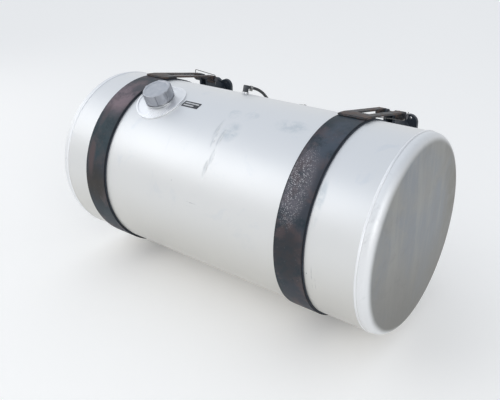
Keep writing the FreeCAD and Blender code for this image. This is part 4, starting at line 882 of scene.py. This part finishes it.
# Nodes whose finish differs from the rest of their slot, by the start of their name
FINISHES = {
    "head_": (head_metal, {}),
    "fork_pin": (plain_metal, {
        "name": "pin_steel", "colour": (0.085, 0.085, 0.095), "rough": 0.48,
        "metal": 0.7, "scale": 50}),
    "pin_clip": (plain_metal, {
        "name": "clip_steel", "colour": (0.24, 0.235, 0.225), "rough": 0.45,
        "metal": 0.85, "scale": 80}),
    "tension_": (plain_metal, {
        "name": "bolt_steel", "colour": (0.17, 0.165, 0.16), "rough": 0.50,
        "metal": 0.80, "scale": 60}),
}


def dress_nodes():
    """Gives every node its finish, and returns the slots' finishes for the fine pieces."""
    made = {slot: build(**values) for slot, (build, values) in MATERIALS.items()}
    special = {start: build(**values) for start, (build, values) in FINISHES.items()}
    for row in frame["record"]["subparts"]:
        material = made[row["material_slot"]]
        for start, finish in special.items():
            if row["node"].startswith(start):
                material = finish
        piece = NODES[row["node"]]
        piece.data.materials.clear()
        piece.data.materials.append(material)
    return made


# Fine pieces

def on_tank(x, angle, radius):
    """Point at an angle from the top of the tank towards the front."""
    turn = math.radians(angle)
    return Vector((x, AXIS_Y - radius * math.sin(turn), AXIS_Z + radius * math.cos(turn)))


def add_piece(name, points, faces, material):
    mesh = bpy.data.meshes.new(name)
    mesh.from_pydata(points, [], faces)
    mesh.materials.append(material)
    mesh.shade_smooth()
    piece = bpy.data.objects.new(name, mesh)
    bpy.context.scene.collection.objects.link(piece)
    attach(piece, "tank")
    return piece


def straight(start, end):
    """A bead's line from one point to another."""
    return lambda share: start.lerp(end, share)


def round_tank(x, first, last, radius):
    """A bead's line round the tank from one angle to another."""
    return lambda share: on_tank(x, first + (last - first) * share, radius)


def line_length(line):
    spots = [line(index / BEAD_MARKS) for index in range(BEAD_MARKS + 1)]
    return sum((after - before).length for before, after in zip(spots, spots[1:]))


def bead_ring(line, share, ripples, up, radius):
    """Points round a bead at one share of its line."""
    middle = line(share)
    ahead = line(min(1, share + BEAD_REACH))
    forward = (ahead - line(max(0, share - BEAD_REACH))).normalized()
    side = forward.cross(up).normalized()
    top = side.cross(forward)
    swell = 1 - BEAD_DIP + BEAD_DIP * abs(math.sin(share * ripples * math.pi))
    taper = min(1.0, BEAD_END + BEAD_GROWTH * min(share, 1 - share))
    wander = BEAD_WANDER * math.sin(WANDER_SWEEP * share + middle.x * WANDER_SHIFT)
    ring = []
    for corner in range(BEAD_CORNERS):
        turn = 2 * math.pi * corner / BEAD_CORNERS
        offset = side * (math.cos(turn) * BEAD_WIDTH) + top * math.sin(turn)
        ring.append(middle + side * wander + offset * (radius * swell * taper))
    return ring


def add_bead(points, faces, line, up, radius):
    """Weld bead along a line: a rod with a ripple for each step of the weld."""
    ripples = max(2, round(line_length(line) / BEAD_PITCH))
    steps = ripples * BEAD_RINGS
    first = len(points)
    for index in range(steps + 1):
        points.extend(bead_ring(line, index / steps, ripples, up, radius))
    for index in range(steps):
        low = first + index * BEAD_CORNERS
        high = low + BEAD_CORNERS
        for corner in range(BEAD_CORNERS):
            after = (corner + 1) % BEAD_CORNERS
            faces.append((low + corner, low + after, high + after, high + corner))
    last = first + steps * BEAD_CORNERS
    faces.append(tuple(reversed(range(first, first + BEAD_CORNERS))))
    faces.append(tuple(range(last, last + BEAD_CORNERS)))


def make_fork_welds(name, middle, material):
    """Welds between a fork and the strap that it laps."""
    points = []
    faces = []
    upright = Vector((0, 0, 1))
    inner = STRAP_HALF - LAP_WELD_INSET
    left = on_tank(middle - inner, LAP_WELD_ANGLE, FORK_WELD_RADIUS)
    right = on_tank(middle + inner, LAP_WELD_ANGLE, FORK_WELD_RADIUS)
    add_bead(points, faces, straight(left, right), upright, LAP_BEAD)
    for offset in (-STRAP_HALF, STRAP_HALF):
        start = on_tank(middle + offset, LAP_ANGLE, FORK_WELD_RADIUS)
        end = on_tank(middle + offset, SIDE_WELD_ANGLE, FORK_WELD_RADIUS)
        add_bead(points, faces, straight(start, end), upright, SIDE_BEAD)
    add_piece("fork_welds_" + name, points, faces, material)


def make_bracket_welds(name, middle, material):
    """Welds of a bracket's web and lugs to its plate, foot and saddle."""
    points = []
    faces = []
    across = Vector((1, 0, 0))
    for side in (-1, 1):
        web = middle + side * WEB_HALF
        corner = Vector((web, PLATE_FRONT_Y, FOOT_TOP))
        top = Vector((web, PLATE_FRONT_Y, WEB_WELD_TOP))
        toe = Vector((web, FOOT_WELD_TOE, FOOT_TOP))
        lug = middle + side * LUG_HALF
        low = Vector((lug, PLATE_FRONT_Y, LUG_WELD[0]))
        high = Vector((lug, PLATE_FRONT_Y, LUG_WELD[1]))
        lines = [
            straight(corner, top),
            straight(toe, corner),
            round_tank(web, *WEB_ARC, SADDLE_RADIUS),
            straight(low, high),
            round_tank(lug, *LUG_ARC, SADDLE_RADIUS),
        ]
        for line in lines:
            add_bead(points, faces, line, across, BRACKET_BEAD)
    add_piece("bracket_welds_" + name, points, faces, material)


def patch_points():
    """Grid of points on the patch's lower side, then the same on its upper side."""
    points = []
    for lift in (PATCH_GAP, PATCH_GAP + PATCH_SHEET):
        for row in range(PATCH_ROWS + 1):
            arc = PATCH_PLACE[1] + PATCH_HALF[1] * (2 * row / PATCH_ROWS - 1)
            angle = math.degrees(arc / TANK_RADIUS)
            for column in range(PATCH_COLUMNS + 1):
                x = PATCH_PLACE[0] + PATCH_HALF[0] * (2 * column / PATCH_COLUMNS - 1)
                points.append(on_tank(x, angle, TANK_RADIUS + lift))
    return points


def patch_rim():
    """Points round the edge of one side of the patch, in order."""
    line = PATCH_COLUMNS + 1
    rim = list(range(line))
    rim += [row * line + PATCH_COLUMNS for row in range(1, PATCH_ROWS + 1)]
    rim += [PATCH_ROWS * line + column for column in range(PATCH_COLUMNS - 1, -1, -1)]
    rim += [row * line for row in range(PATCH_ROWS - 1, 0, -1)]
    return rim


def make_patch(material):
    """Thin printed patch that follows the shell."""
    line = PATCH_COLUMNS + 1
    layer = (PATCH_ROWS + 1) * line
    faces = []
    for row in range(PATCH_ROWS):
        for column in range(PATCH_COLUMNS):
            low = row * line + column
            high = low + line
            faces.append((low, high, high + 1, low + 1))
            faces.append((layer + low, layer + low + 1, layer + high + 1, layer + high))
    rim = patch_rim()
    for first, second in zip(rim, rim[1:] + rim[:1]):
        faces.append((first, second, layer + second, layer + first))
    piece = add_piece("printed_patch", patch_points(), faces, material)
    piece.data.shade_flat()


def hose_points():
    """Points that the hose's line is drawn to, from its outlet to its open end."""
    outlet = Matrix.Translation((VENT_X, AXIS_Y, AXIS_Z))
    outlet = outlet @ Matrix.Rotation(math.radians(VENT_TILT), 4, "X")
    outlet = outlet @ Matrix.Rotation(math.radians(VENT_TURN), 4, "Z")
    points = [outlet @ Vector(place) for place in HOSE_START]
    for along, angle, height in HOSE_ROUTE:
        points.append(on_tank(VENT_X + along, -angle, TANK_RADIUS + height))
    return points


def make_hose(material):
    data = bpy.data.curves.new("hose_line", "CURVE")
    data.dimensions = "3D"
    data.bevel_depth = HOSE_RADIUS
    data.bevel_resolution = HOSE_ROUND
    data.use_fill_caps = True
    spline = data.splines.new("NURBS")
    points = hose_points()
    spline.points.add(len(points) - 1)
    for point, place in zip(spline.points, points):
        point.co = (*place, 1)
    spline.order_u = 3
    spline.use_endpoint_u = True
    spline.resolution_u = HOSE_STEPS
    data.materials.append(material)
    hose = bpy.data.objects.new("hose_line", data)
    bpy.context.scene.collection.objects.link(hose)
    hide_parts("vent_hose")
    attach(hose, "tank")


bpy.context.scene.view_settings.view_transform = "Standard"
make_camera()
make_floor()
make_world()
make_lights()
materials = dress_nodes()
make_hose(materials["hose_rubber"])
for name, middle in (("left", -STRAP_PLACE), ("right", STRAP_PLACE)):
    make_fork_welds(name, middle, materials["fork_rust"])
    make_bracket_welds(name, middle, materials["bracket_paint"])
make_patch(print_patch())
